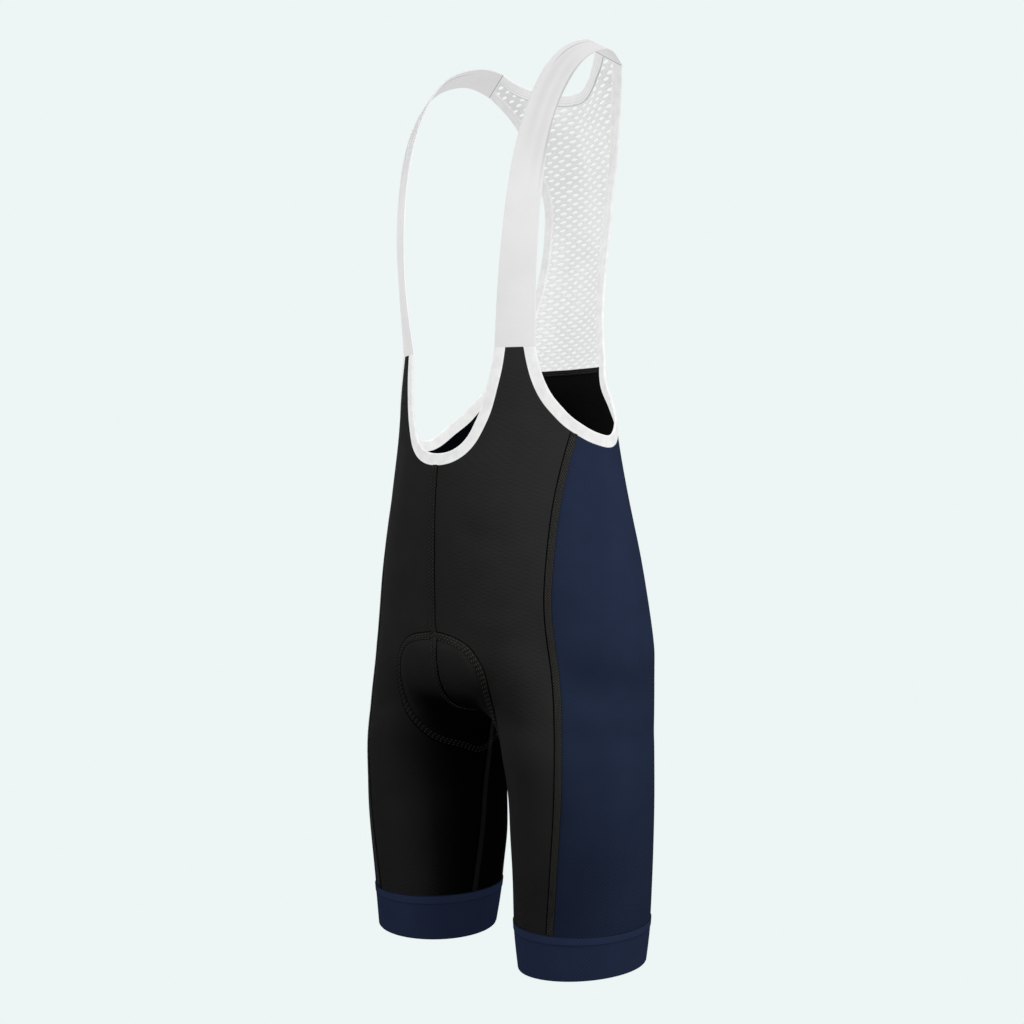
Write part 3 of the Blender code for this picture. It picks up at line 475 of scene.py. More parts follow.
@dataclass
class Wall:
    """A thin closed wall over a surface: an outer skin, an inner skin and a rim round every edge.

    A point of a skin is the surface's point plus its normal times outer or inner. Every side of a
    face that no second face shares gets a rim.
    """

    points: Array
    normals: Array
    faces: Array
    flat: Array
    outer: Array | float = 0.0
    inner: Array | float = -WALL
    period: float = 0.0  # length round a ring, where its flat places start again

    @classmethod
    def of_grid(
        cls,
        grid: Array,
        normals: Array,
        flat: Array,
        outer: Array | float = 0.0,
        inner: Array | float = -WALL,
        period: float = 0.0,
    ) -> "Wall":
        """A wall over a grid; outer and inner may be a number, a row or a whole grid."""
        rows, columns = grid.shape[:2]
        skins = [np.broadcast_to(skin, (rows, columns)).reshape(-1) for skin in (outer, inner)]
        faces = grid_faces(rows, columns, ring=period > 0)
        flat = flat.reshape(-1, 2)
        return cls(grid.reshape(-1, 3), normals.reshape(-1, 3), faces, flat, *skins, period)

    @classmethod
    def of_strip(
        cls,
        grid: Array,
        normals: Array,
        places: Array,
        thickness: float,
        rounding: float,
        middle: float = -WALL / 2,
        flat: Array | None = None,
    ) -> "Wall":
        """A strip with rounded edges.

        Args:
            grid: Its points, in rows across it.
            normals: Their normals.
            places: Distance across the strip of each column.
            thickness: From face to face.
            rounding: Width of the rounded part at each edge.
            middle: How far the middle of its thickness stands out from the grid.
            flat: Flat places, if they aren't those of the grid.

        Returns:
            The wall.
        """
        half = thickness / 2 * rounded(places, rounding)
        flat = band_map(grid) if flat is None else flat
        return cls.of_grid(grid, normals, flat, middle + half, middle - half)

    def build(
        self, name: str, material: bpy.types.Material, slot: str, node: str = ""
    ) -> bpy.types.Object:
        """The wall as an object.

        Args:
            name: Name of the piece.
            material: Its finish.
            slot: The material slot of its solid; not used.
            node: The solid that it replaces, if it replaces one.

        Returns:
            The object, at the origin, with its flat places as a UV map in metres.
        """
        count = len(self.points)
        outer = np.broadcast_to(self.outer, count)[:, None]
        inner = np.broadcast_to(self.inner, count)[:, None]
        shell = np.concatenate([self.points + self.normals * k for k in (outer, inner)])
        faces = self.faces
        a, b, c, d = (self.points[faces[:, i]] for i in (0, 1, 2, -1))
        if (np.cross(c - a, d - b) * self.normals[faces[:, 0]]).sum() < 0:
            faces = faces[:, ::-1]
        size = faces.shape[1]
        sides = np.concatenate([faces[:, [i, (i + 1) % size]] for i in range(size)])
        keys = sides.min(1).astype(np.int64) * count + sides.max(1)
        _, place, uses = np.unique(keys, return_inverse=True, return_counts=True)
        rim = sides[uses[place.reshape(-1)] == 1]
        rims = np.column_stack([rim[:, 1], rim[:, 0], rim[:, 0] + count, rim[:, 1] + count])
        used, quads = np.unique(
            np.concatenate([faces, faces[:, ::-1] + count, rims]), return_inverse=True
        )
        corners = np.concatenate([self.flat, self.flat])[used][quads.reshape(-1, size)]
        if self.period > 0:
            along_ring = corners[..., 0]
            low = along_ring < along_ring.max(1, keepdims=True) - self.period / 2
            corners[..., 0] = np.where(low, along_ring + self.period, along_ring)
        piece = make_object(name, shell[used], quads.reshape(-1, size), corners, material)
        # Marks the inner skin, which finishes darken or lighten as painted shade or painted light.
        add_values(piece, "inside", used >= count)
        if node:
            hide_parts(node)
        return piece

    def pair(
        self, name: str, node: str, material: bpy.types.Material, slot: str, replaced: bool = True
    ) -> dict[str, bpy.types.Object]:
        """The wall on both sides, each by the node that it replaces or is only sewn to."""
        made = {}
        for side in Side:
            wall = replace(self, points=side.turned(self.points), normals=side.turned(self.normals))
            own = f"{node}_{side.label}"
            made[own] = wall.build(f"{name}_{side.label}", material, slot, own if replaced else "")
        return made


def placed(name: str, data: bpy.types.ID) -> bpy.types.Object:
    """A new object with this data, linked into the scene."""
    item = bpy.data.objects.new(name, data)
    bpy.context.scene.collection.objects.link(item)
    return item


def add_values(piece: bpy.types.Object, name: str, values: Array) -> None:
    """One number for each point of a piece, for its finish to read."""
    made = piece.data.attributes.new(name, "FLOAT", "POINT")
    made.data.foreach_set("value", values.astype(np.float32))


def make_object(
    name: str, points: Array, faces: Array, corners: Array, material: bpy.types.Material
) -> bpy.types.Object:
    """A smooth mesh object of even-sided faces that rides on the part's one body."""
    mesh = bpy.data.meshes.new(name)
    size = faces.shape[1]
    mesh.vertices.add(len(points))
    mesh.vertices.foreach_set("co", points.astype(np.float32).ravel())
    mesh.loops.add(faces.size)
    mesh.loops.foreach_set("vertex_index", faces.astype(np.int32).ravel())
    mesh.polygons.add(len(faces))
    mesh.polygons.foreach_set("loop_start", np.arange(len(faces), dtype=np.int32) * size)
    mesh.update(calc_edges=True)
    mesh.validate()
    layer = mesh.uv_layers.new(name="Flat")
    layer.data.foreach_set("uv", corners.astype(np.float32).ravel())
    mesh.shade_smooth()
    mesh.set_sharp_from_angle(angle=np.radians(SHARP_ANGLE))
    mesh.materials.append(material)
    piece = placed(name, mesh)
    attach(piece, "root")
    return piece


# ---------------------------------------------------------------- folds and the pad


@dataclass(frozen=True)
class Fold:
    """One soft crease of the cloth: a ridge, or a trough where its depth is below zero.

    At distance d from its line the cloth stands out by depth * exp(-(d / width)^2), fading out
    towards both ends of the line.
    """

    start: tuple[float, float, float]
    middle: tuple[float, float, float]
    end: tuple[float, float, float]
    width: float
    depth: float

    def raised(self, points: Array) -> Array:
        """How far the fold lifts each point."""
        line = smooth_line(np.array([self.start, self.middle, self.end]), FOLD_STEPS)
        best = np.full(points.shape[:-1], np.inf)
        place = np.zeros(points.shape[:-1])
        for i, (a, b) in enumerate(zip(line, line[1:])):
            way = b - a
            share = np.clip(((points - a) @ way) / (way @ way), 0, 1)
            gap = np.linalg.norm(points - a - share[..., None] * way, axis=-1)
            place = np.where(gap < best, (i + share) / FOLD_STEPS, place)
            best = np.minimum(best, gap)
        fade = np.sin(np.pi * np.clip(place, 0.02, 0.98)) ** FOLD_FADE
        return self.depth * fade * np.exp(-((best / self.width) ** 2))


def pad_reach(degrees: Array, right: Array) -> Array:
    """How far out the pad runs at this turn under the body, on the right or the left."""
    table = np.asarray(PAD_OUTLINE)
    sides = [np.interp(degrees, table[:, 0], table[:, k], 0, 0) for k in (1, 2)]
    return np.where(right, sides[0], sides[1])


def pad_raised(points: Array) -> Array:
    """How far the seat pad under the cloth swells it: a smooth step in from the pad's outline."""
    deep, down = -points[..., 1], CROTCH_CENTRE - points[..., 2]
    degrees = np.degrees(np.arctan2(down, deep)) % 360
    inside = pad_reach(degrees, points[..., 0] < 0) - np.abs(points[..., 0])
    first, last = PAD_OUTLINE[0][0], PAD_OUTLINE[-1][0]
    reach = np.hypot(deep, down)
    ends = np.radians(np.minimum(degrees - first, last - degrees)) * reach
    below = points[..., 2] > PAD_LOWEST
    return PAD_SWELL * smooth_step(inside / PAD_EDGE) * smooth_step(ends / PAD_EDGE) * below


FOLDS: tuple[Fold, ...] = (
    # inside of the seat's top, seen through the side openings
    Fold((0.014, 0.066, -0.312), (0.016, 0.072, -0.350), (0.020, 0.082, -0.405), 0.0055, 0.0022),
    Fold((0.034, 0.066, -0.316), (0.037, 0.070, -0.352), (0.044, 0.078, -0.400), 0.0060, -0.0018),
    Fold((-0.022, 0.066, -0.314), (-0.026, 0.070, -0.345), (-0.030, 0.078, -0.390), 0.0060, 0.0018),
    Fold((-0.048, 0.062, -0.320), (-0.052, 0.066, -0.352), (-0.060, 0.072, -0.398), 0.0070, -0.0016),
    # yoke of the front, drawn from the peaks
    Fold((0.070, -0.084, -0.345), (0.078, -0.082, -0.400), (0.072, -0.087, -0.470), 0.0150, -0.0007),
    Fold((-0.068, -0.084, -0.340), (-0.078, -0.082, -0.392), (-0.076, -0.086, -0.455), 0.0140, -0.0006),
    Fold((0.020, -0.100, -0.455), (0.050, -0.096, -0.475), (0.090, -0.082, -0.480), 0.0120, -0.0006),
    Fold((-0.030, -0.100, -0.470), (-0.060, -0.094, -0.492), (-0.098, -0.078, -0.498), 0.0130, -0.0006),
    # hips
    Fold((0.030, -0.102, -0.548), (0.070, -0.095, -0.560), (0.108, -0.076, -0.552), 0.0120, 0.0006),
    Fold((-0.028, -0.102, -0.556), (-0.064, -0.096, -0.566), (-0.100, -0.080, -0.560), 0.0110, 0.0006),
    # groin
    Fold((0.062, -0.092, -0.628), (0.082, -0.086, -0.645), (0.104, -0.082, -0.655), 0.0090, -0.0008),
    Fold((-0.078, -0.090, -0.636), (-0.098, -0.084, -0.650), (-0.116, -0.076, -0.656), 0.0100, -0.0008),
    # thighs
    Fold((0.070, -0.078, -0.705), (0.092, -0.081, -0.716), (0.120, -0.076, -0.722), 0.0120, 0.0005),
    Fold((-0.076, -0.078, -0.718), (-0.098, -0.080, -0.730), (-0.126, -0.074, -0.731), 0.0120, 0.0005),
    # seat
    Fold((0.018, 0.104, -0.655), (0.050, 0.098, -0.668), (0.088, 0.080, -0.664), 0.0100, -0.0018),
    Fold((-0.016, 0.104, -0.658), (-0.048, 0.099, -0.672), (-0.082, 0.083, -0.670), 0.0110, -0.0016),
    Fold((0.040, 0.090, -0.700), (0.075, 0.080, -0.712), (0.112, 0.062, -0.706), 0.0110, -0.0010),
    Fold((-0.046, 0.088, -0.708), (-0.080, 0.078, -0.716), (-0.108, 0.064, -0.714), 0.0110, -0.0009),
    Fold((0.050, 0.085, -0.430), (0.072, 0.080, -0.462), (0.086, 0.078, -0.500), 0.0110, -0.0012),
    Fold((-0.046, 0.086, -0.436), (-0.066, 0.083, -0.470), (-0.082, 0.080, -0.512), 0.0120, -0.0011),
)


def raised(points: Array) -> Array:
    """How far folds and pad lift the cloth at each point of the form."""
    return pad_raised(points) + sum(fold.raised(points) for fold in FOLDS)


def lifted(points: Array, normals: Array, more: float = 0.0) -> Array:
    """Points of the form moved out by what folds and pad lift the cloth, and by some more."""
    return points + normals * (raised(points) + more)[..., None]


# ---------------------------------------------------------------- seams and edges


def blended_ends(ways: Array, first: Array | None, last: Array | None, reach: int) -> Array:
    """Directions across a band, turned at each end to lie along the seam that closes it."""
    share = np.zeros((len(ways), 1))
    ways = ways.copy()
    if first is not None:
        share[:reach, 0] = 1 - np.arange(reach) / reach
        ways = unit(ways * (1 - share) + first * share)
    share[:] = 0
    if last is not None:
        share[::-1][:reach, 0] = 1 - np.arange(reach) / reach
        ways = unit(ways * (1 - share) + last * share)
    return ways


@dataclass
class Band:
    """An edge to be bound: its free line, the way across the binding, and its normals."""

    edge: Array
    ways: Array
    normals: Array
    settled: Array  # which points lie on the form

    def across(self, distances: Array) -> Array:
        """Lines of points at these distances from the free edge, as a grid."""
        grid = self.edge[:, None] + self.ways[:, None] * np.asarray(distances)[None, :, None]
        grid[self.settled] = settle(grid[self.settled])
        return grid


def neck_band() -> Band:
    """Binding of the front neckline on the left, from the strap down to the middle."""
    table = np.asarray(NECKLINE)[::-1]
    mirror = table[-2::-1] * np.array([-1.0, 1.0])
    both = smooth_line(np.concatenate([table, mirror]), 800)
    half = both[: len(both) // 2 + 1]
    spread = np.linspace(0, 1, ROWS.peak + ROWS.yoke + 1)
    spread = spread + NECKLINE_CROWDING * spread * (1 - spread)
    line = read_line(spread, along(half), half)
    edge = trunk_front(line[:, 0], line[:, 1])
    normals = outward(edge)
    to_strap = unit(trunk_round(SIDE_OPENING[0][0], np.float64(STRAP_BASE)) - edge[0])
    ways = np.cross(normals, tangents(edge))
    ways = blended_ends(ways, to_strap, np.array([0.0, 0.0, -1.0]), ROWS.blend)
    return Band(edge, ways, normals, np.ones(len(edge), bool))


def strap_seam() -> tuple[Array, Array]:
    """Direction of the seam where a strap meets the net, and its outward normal."""
    neck, outer = np.array(STRAP[-1][:3]), np.array(STRAP[-1][3:])
    way = unit(outer - neck)
    before = (np.array(STRAP[-2][:3]) + np.array(STRAP[-2][3:])) / 2
    strap_way = unit((neck + outer) / 2 - before)
    return way, unit(np.cross(strap_way, way) * -1)


def back_neck_band() -> Band:
    """Binding of the back neckline on the left, from the strap to the middle."""
    table = np.asarray(BACK_NECKLINE)
    both = np.concatenate([table[:0:-1] * np.array([-1.0, 1.0, 1.0]), table])
    edge = smooth_line(both, 2 * ROWS.net_neck)[ROWS.net_neck :][::-1]
    seam_way, seam_normal = strap_seam()
    line_way = tangents(edge)
    line_way[-1] = (-1.0, 0.0, 0.0)
    aim = np.array(BACK_BINDING_AIM) - edge * np.array([1.0, 1.0, 0.0])
    aim[-1, 0] = 0.0
    ways = unit(aim - line_way * (aim * line_way).sum(1, keepdims=True))
    ways = blended_ends(ways, seam_way, None, ROWS.blend // 3 * 2)
    normals = unit(np.cross(ways, line_way))
    normals[0] = seam_normal
    return Band(edge, ways, normals, np.zeros(len(edge), bool))


def net_inner_line(neck: Band, width: float) -> Array:
    """Middle of the net up to the back neckline, then its cloth edge up to the strap."""
    cloth = neck.edge + neck.ways * width
    middle = np.asarray(NET_MIDDLE)
    top = cloth[-1]
    keep = middle[:, 1] < top[2] - NET_TOP_SPACING
    middle = np.concatenate([middle[keep], [[top[1], top[2]]]])
    middle = np.column_stack([np.zeros(len(middle)), middle])
    return np.concatenate([smooth_line(middle, ROWS.net_middle), cloth[::-1][1:]])


def side_band(neck: Band) -> tuple[Band, tuple[int, int, int]]:
    """Binding of the side opening on the left, strap to strap, and where its stretches end."""
    trunk = np.asarray(SIDE_OPENING)
    trunk = trunk_round(trunk[:, 0], trunk[:, 1])
    fine = smooth_line(np.concatenate([trunk, np.asarray(NET_EDGE)]), FINE_STEPS)
    run = along(fine)
    seams = [
        run[np.argmin(np.linalg.norm(fine - trunk[i], axis=1))]
        for i in (FRONT_SEAM_AT, BACK_SEAM_AT)
    ]
    to_waist = run[np.argmin(np.abs(fine[:, 2] - BACK_WAIST) + (fine[:, 1] < 0))]
    breaks = (0, *seams, to_waist, 1)
    counts = (ROWS.peak, ROWS.side, ROWS.seat_top, ROWS.net_middle + ROWS.net_neck)
    places = [np.linspace(a, b, n + 1)[:-1] for a, b, n in zip(breaks, breaks[1:], counts)]
    edge = read_line(np.concatenate([*places, [1.0]]), run, fine)
    ends = tuple(int(n) for n in np.cumsum(counts)[:-1])
    waist = ends[2]
    settled = np.arange(len(edge)) <= waist
    edge[settled] = settle(edge[settled])
    edge[0, 2] = STRAP_BASE
    line_way = tangents(edge)
    net_way = net_inner_line(neck, BAND_WIDTH) - edge[waist:]
    net_normals = unit(np.cross(unit(net_way), line_way[waist:]))
    normals = outward(edge)
    share = np.clip(np.arange(len(net_way)) / ROWS.blend, 0, 1)[:, None]
    normals[waist:] = unit(normals[waist:] * (1 - share) + net_normals * share)
    seam_way, seam_normal = strap_seam()
    strap_neck = trunk_front(np.float64(NECKLINE[-1][0]), np.float64(STRAP_BASE))
    ways = unit(np.cross(line_way, normals))
    ways = blended_ends(ways, unit(strap_neck - edge[0]), -seam_way, ROWS.blend)
    level = unit(np.cross(normals[waist], np.array([0.0, 0.0, 1.0])))
    level = level * np.sign(np.dot(level, ways[waist]))
    near = np.abs(np.arange(len(edge)) - waist)[:, None]
    share = np.clip(1 - near / ROWS.blend, 0, 1)
    ways = unit(ways * (1 - share) + level * share)
    normals[-1] = seam_normal
    return Band(edge, ways, normals, settled), ends


def side_seam(table: tuple, top: Array) -> Array:
    """Seam from the point top of the opening's band down to the leg band."""
    knots = np.concatenate([[top], np.asarray(table)])
    stops = (top[2], *SEAM_BREAKS, GRIPPER_TOP - TUCK)
    counts = (ROWS.yoke, ROWS.waist, ROWS.crotch, ROWS.leg)
    parts = [np.linspace(a, b, n + 1)[:-1] for a, b, n in zip(stops, stops[1:], counts)]
    heights = np.concatenate([*parts, [stops[-1]]])
    line = spline(-knots[:, 2], knots[:, :2], -heights)
    points = settle(np.column_stack([line, heights]))
    points[0] = top
    points[-1, 2] = leg_level(points[-1], GRIPPER_TOP - TUCK)
    return points


def inseam() -> Array:
    """Seam inside the left leg, from the crotch down to the leg band."""
    points = settle(smooth_line(INSEAM, ROWS.leg))
    points[0] = crotch_ray(np.array([CROTCH_RAY_TO_INSEAM]))[0]
    points[-1, 2] = leg_level(points[-1], GRIPPER_TOP - TUCK)
    return points


def middle_front(top: Array) -> Array:
    """Seam down the middle of the front and under the body, as far as the inseams."""
    heights = np.linspace(top[2], CROTCH_CENTRE, ROWS.waist + 1)[:-1]
    upper = trunk_front(0 * heights, heights)
    upper[0] = top
    under = crotch_ray(np.linspace(0, CROTCH_RAY_TO_INSEAM, ROWS.crotch + 1))
    return np.concatenate([upper, under])


def middle_back() -> Array:
    """Seam down the middle of the back and under the body, as far as the inseams."""
    rows = ROWS.seat_top + ROWS.yoke + ROWS.waist
    heights = np.linspace(BACK_WAIST, CROTCH_CENTRE, rows + 1)[:-1]
    upper = trunk_round(180.0 + 0 * heights, heights)
    under = crotch_ray(np.linspace(180, CROTCH_RAY_TO_INSEAM, ROWS.crotch + 1))
    return np.concatenate([upper, under])


def across_form(start: Array, end: Array, columns: int, sag: Array | float = 0.0) -> Array:
    """Rows of points on the form from each start point to its end point.

    A row turns evenly about the axis while its height and reach run evenly too, and is then
    settled onto the form.

    Args:
        start: Points of one seam line.
        end: Points of the other, as many.
        columns: Faces across the panel.
        sag: How far the first row hangs below an even run in each column; it fades out below.

    Returns:
        The grid of points.
    """
    start_x, start_y = axis_at(start[:, 2])
    end_x, end_y = axis_at(end[:, 2])
    first = np.arctan2(start[:, 0] - start_x, -(start[:, 1] - start_y))
    last = np.arctan2(end[:, 0] - end_x, -(end[:, 1] - end_y))
    last = np.where(last < first, last + 2 * np.pi, last)
    first_reach = np.hypot(start[:, 0] - start_x, start[:, 1] - start_y)
    last_reach = np.hypot(end[:, 0] - end_x, end[:, 1] - end_y)
    share = np.linspace(0, 1, columns + 1)[None, :]
    turn = first[:, None] * (1 - share) + last[:, None] * share
    reach = first_reach[:, None] * (1 - share) + last_reach[:, None] * share
    fade = np.clip(1 - np.arange(len(start)) / ROWS.sag, 0, 1)[:, None] ** 2
    height = start[:, 2:] * (1 - share) + end[:, 2:] * share + sag * fade
    middle_x, middle_y = axis_at(height)
    x = middle_x + reach * np.sin(turn)
    y = middle_y - reach * np.cos(turn)
    rows = settle(np.stack([x, y, height], -1))
    rows[:, 0], rows[:, -1] = start, end
    rows[0, :, 2] = np.linspace(start[0, 2], end[0, 2], columns + 1)
    rows[-1, :, 2] = leg_level(rows[-1], GRIPPER_TOP - TUCK)
    return rows


@dataclass
class Pattern:
    """Every seam line and bound edge of the left half, worked out once."""

    neck: Band = field(default_factory=neck_band)
    back_neck: Band = field(default_factory=back_neck_band)

    def __post_init__(self) -> None:
        """Works out the lines that follow from the two necklines."""
        self.side, (self.to_front, self.to_back, self.to_waist) = side_band(self.back_neck)
        reach = np.array([BAND_WIDTH - TUCK])
        self.neck_cloth = self.neck.across(reach)[:, 0]
        self.neck_cloth[-1, 0] = 0.0
        self.neck_cloth[0, 2] = STRAP_BASE
        self.side_cloth = self.side.across(reach)[:, 0]
        self.side_cloth[0, 2] = STRAP_BASE
        self.front_seam = side_seam(FRONT_SEAM, self.side_cloth[self.to_front])
        self.back_seam = side_seam(BACK_SEAM, self.side_cloth[self.to_back])
        self.inseam = inseam()
        self.middle_front = middle_front(self.neck_cloth[-1])
        self.middle_back = middle_back()


# ---------------------------------------------------------------- pieces


def crowded(width: float, rounding: float, inner_steps: int) -> Array:
    """Places across a strip from 0 to width, close together where its edges round off."""
    near = rounding * np.array(EDGE_CROWDING)
    inside = np.linspace(rounding, width - rounding, inner_steps + 1)
    return np.concatenate([near, inside, width - near[::-1]])


def rounded(places: Array, rounding: float, least: float = 0.2) -> Array:
    """Share of its half thickness that a strip has at each place: a quarter circle at each edge."""
    depth = np.minimum(places - places[0], places[-1] - places)
    share = np.clip(depth / rounding, 0, 1)
    return np.maximum(np.sqrt(1 - (1 - share) ** 2), least)


@dataclass
class Panels:
    """The six stretch panels: front, side and back on each side."""

    pattern: Pattern
    black: bpy.types.Material
    navy: bpy.types.Material

    def grids(self) -> dict[str, Array]:
        """Grid of points of each panel on the left, before folds."""
        cut = self.pattern
        start = np.concatenate([cut.neck_cloth[:-1], cut.middle_front[:-1], cut.inseam])
        end = np.concatenate([cut.side_cloth[: cut.to_front], cut.front_seam])
        front = across_form(start, end, ROWS.front)
        top = cut.side_cloth[cut.to_front : cut.to_back + 1]
        sag = top[:, 2] - np.linspace(top[0, 2], top[-1, 2], len(top))
        side = across_form(cut.front_seam, cut.back_seam, ROWS.side, sag)
        side[0] = top
        opening = cut.side_cloth[cut.to_back : cut.to_waist + 1][::-1]
        start = np.concatenate([opening[:-1], cut.back_seam])
        end = np.concatenate([cut.middle_back[:-1], cut.inseam])
        return {"front": front, "side": side, "back": across_form(start, end, ROWS.back)}

    def build(self) -> dict[str, bpy.types.Object]:
        """All six panels, by the node that each replaces."""
        made = {}
        for name, grid in self.grids().items():
            flat = grid_map(grid)
            if name == "back":
                flat[..., 0] -= flat[:, -1:, 0]
            finish = (self.navy, "navy_knit") if name == "side" else (self.black, "black_knit")
            normals = outward(grid)
            for side in Side:
                out, node = side.turned(normals), f"{name}_{side.label}"
                wall = Wall.of_grid(lifted(side.turned(grid), out), out, flat)
                made[node] = wall.build(f"{name}_cloth_{side.label}", *finish, node)
        return made


@dataclass(frozen=True)
class Stitch:
    """Size of one stitch and the distance from one to the next, in metres."""

    pitch: float
    length: float
    width: float = 0.0009
    height: float = 0.0008
    start: float = 0.6  # where the first stitch of a row lies, as a share of the pitch

    def row(self, line: Array, normals: Array, number: int) -> Array:
        """Corners of a row of stitches along a line, six to each, as long beads.

        Args:
            line: Points of the line that runs through the middles of the stitches.
            normals: Outward normals of the cloth there.
            number: The row's number; every second row starts half a pitch further on.

        Returns:
            An array of stitches by six corners by three.
        """
        run = run_length(line)
        start = self.start + 0.5 * (number % 2)
        at = (np.arange(int(run[-1] / self.pitch) - 1) + start) * self.pitch
        way = unit(read_line(at, run, tangents(line)))
        normal = unit(read_line(at, run, normals))
        across = unit(np.cross(way, normal))
        middle = read_line(at, run, line)
        half = (way * self.length / 2, across * self.width / 2, normal * self.height / 2)
        return np.stack([middle + sign * part for part in half for sign in (1, -1)], 1)


def add_stitches(
    name: str, rows: list[Array], material: bpy.types.Material, slot: str
) -> bpy.types.Object:
    """All the stitches of one seam, given row by row, as one piece."""
    beads = np.concatenate(rows)
    a, b, c = (beads[:, BEAD_FACES[0, k]] for k in range(3))
    out = (np.cross(b - a, c - a) * (a + b + c - 3 * beads.mean(1))).sum(1)
    faces = BEAD_FACES if np.median(out) > 0 else BEAD_FACES[:, ::-1]
    faces = (np.arange(len(beads))[:, None, None] * beads.shape[1] + faces).reshape(-1, 3)
    points = beads.reshape(-1, 3)
    piece = make_object(name, points, faces, points[:, [0, 2]][faces], material)
    return piece


@dataclass(frozen=True)
class StitchRows:
    """Rows of stitches beside a line: distance across of the first, spacing, and their number."""

    first: float
    spacing: float
    rows: int
    stitch: Stitch


@dataclass
class Tape:
    """A flat seam with its covering stitches, lying on the cloth along a line.

    At each distance across the line the strip stands out by the height in SEAM_PROFILE: first the
    join's narrow groove, then one low ridge.
    """

    name: str
    line: Array
    rows: StitchRows
    turned: bool = False
    ring: bool = False
    offset: Array | float = 0.0
    floor: float = -0.0004
    lift: float = 0.0009

    def build(
        self, cloth: bpy.types.Material, thread: bpy.types.Material
    ) -> list[bpy.types.Object]:
        """The strip as one closed wall, and the stitches on it."""
        line = self.line[::-1] if self.turned else self.line
        around = np.concatenate([line[-1:], line, line[:1]]) if self.ring else line
        way = tangents(around)[1:-1] if self.ring else tangents(line)
        across = unit(np.cross(way, outward(line)))
        profile = np.asarray(SEAM_PROFILE)
        offset = np.broadcast_to(self.offset, len(line))[:, None]
        grid = settle(line[:, None] + across[:, None] * (profile[:, 0] + offset)[..., None])
        out = outward(grid)
        points, run = lifted(grid, out), run_length(line)
        flat = np.stack(np.broadcast_arrays(run[:, None], profile[None, :, 0]), -1)
        heights, period = profile[:, 1], 0.0
        if self.ring:
            points, out, flat = (np.swapaxes(part, 0, 1) for part in (points, out, flat))
            heights = heights[:, None]
            period = float(run[-1] + np.linalg.norm(line[0] - line[-1]))
        strip = Wall.of_grid(points, out, flat, heights, self.floor, period)
        piece = strip.build(self.name, cloth, "black_knit")
        beads = []
        for row in range(self.rows.rows):
            place = line + across * (offset + self.rows.first + row * self.rows.spacing)
            place = settle(np.concatenate([place, place[:1]]) if self.ring else place)
            normal = outward(place)
            beads.append(self.rows.stitch.row(lifted(place, normal, self.lift), normal, row))
        return [piece, add_stitches(f"{self.name}_stitches", beads, thread, "black_knit")]


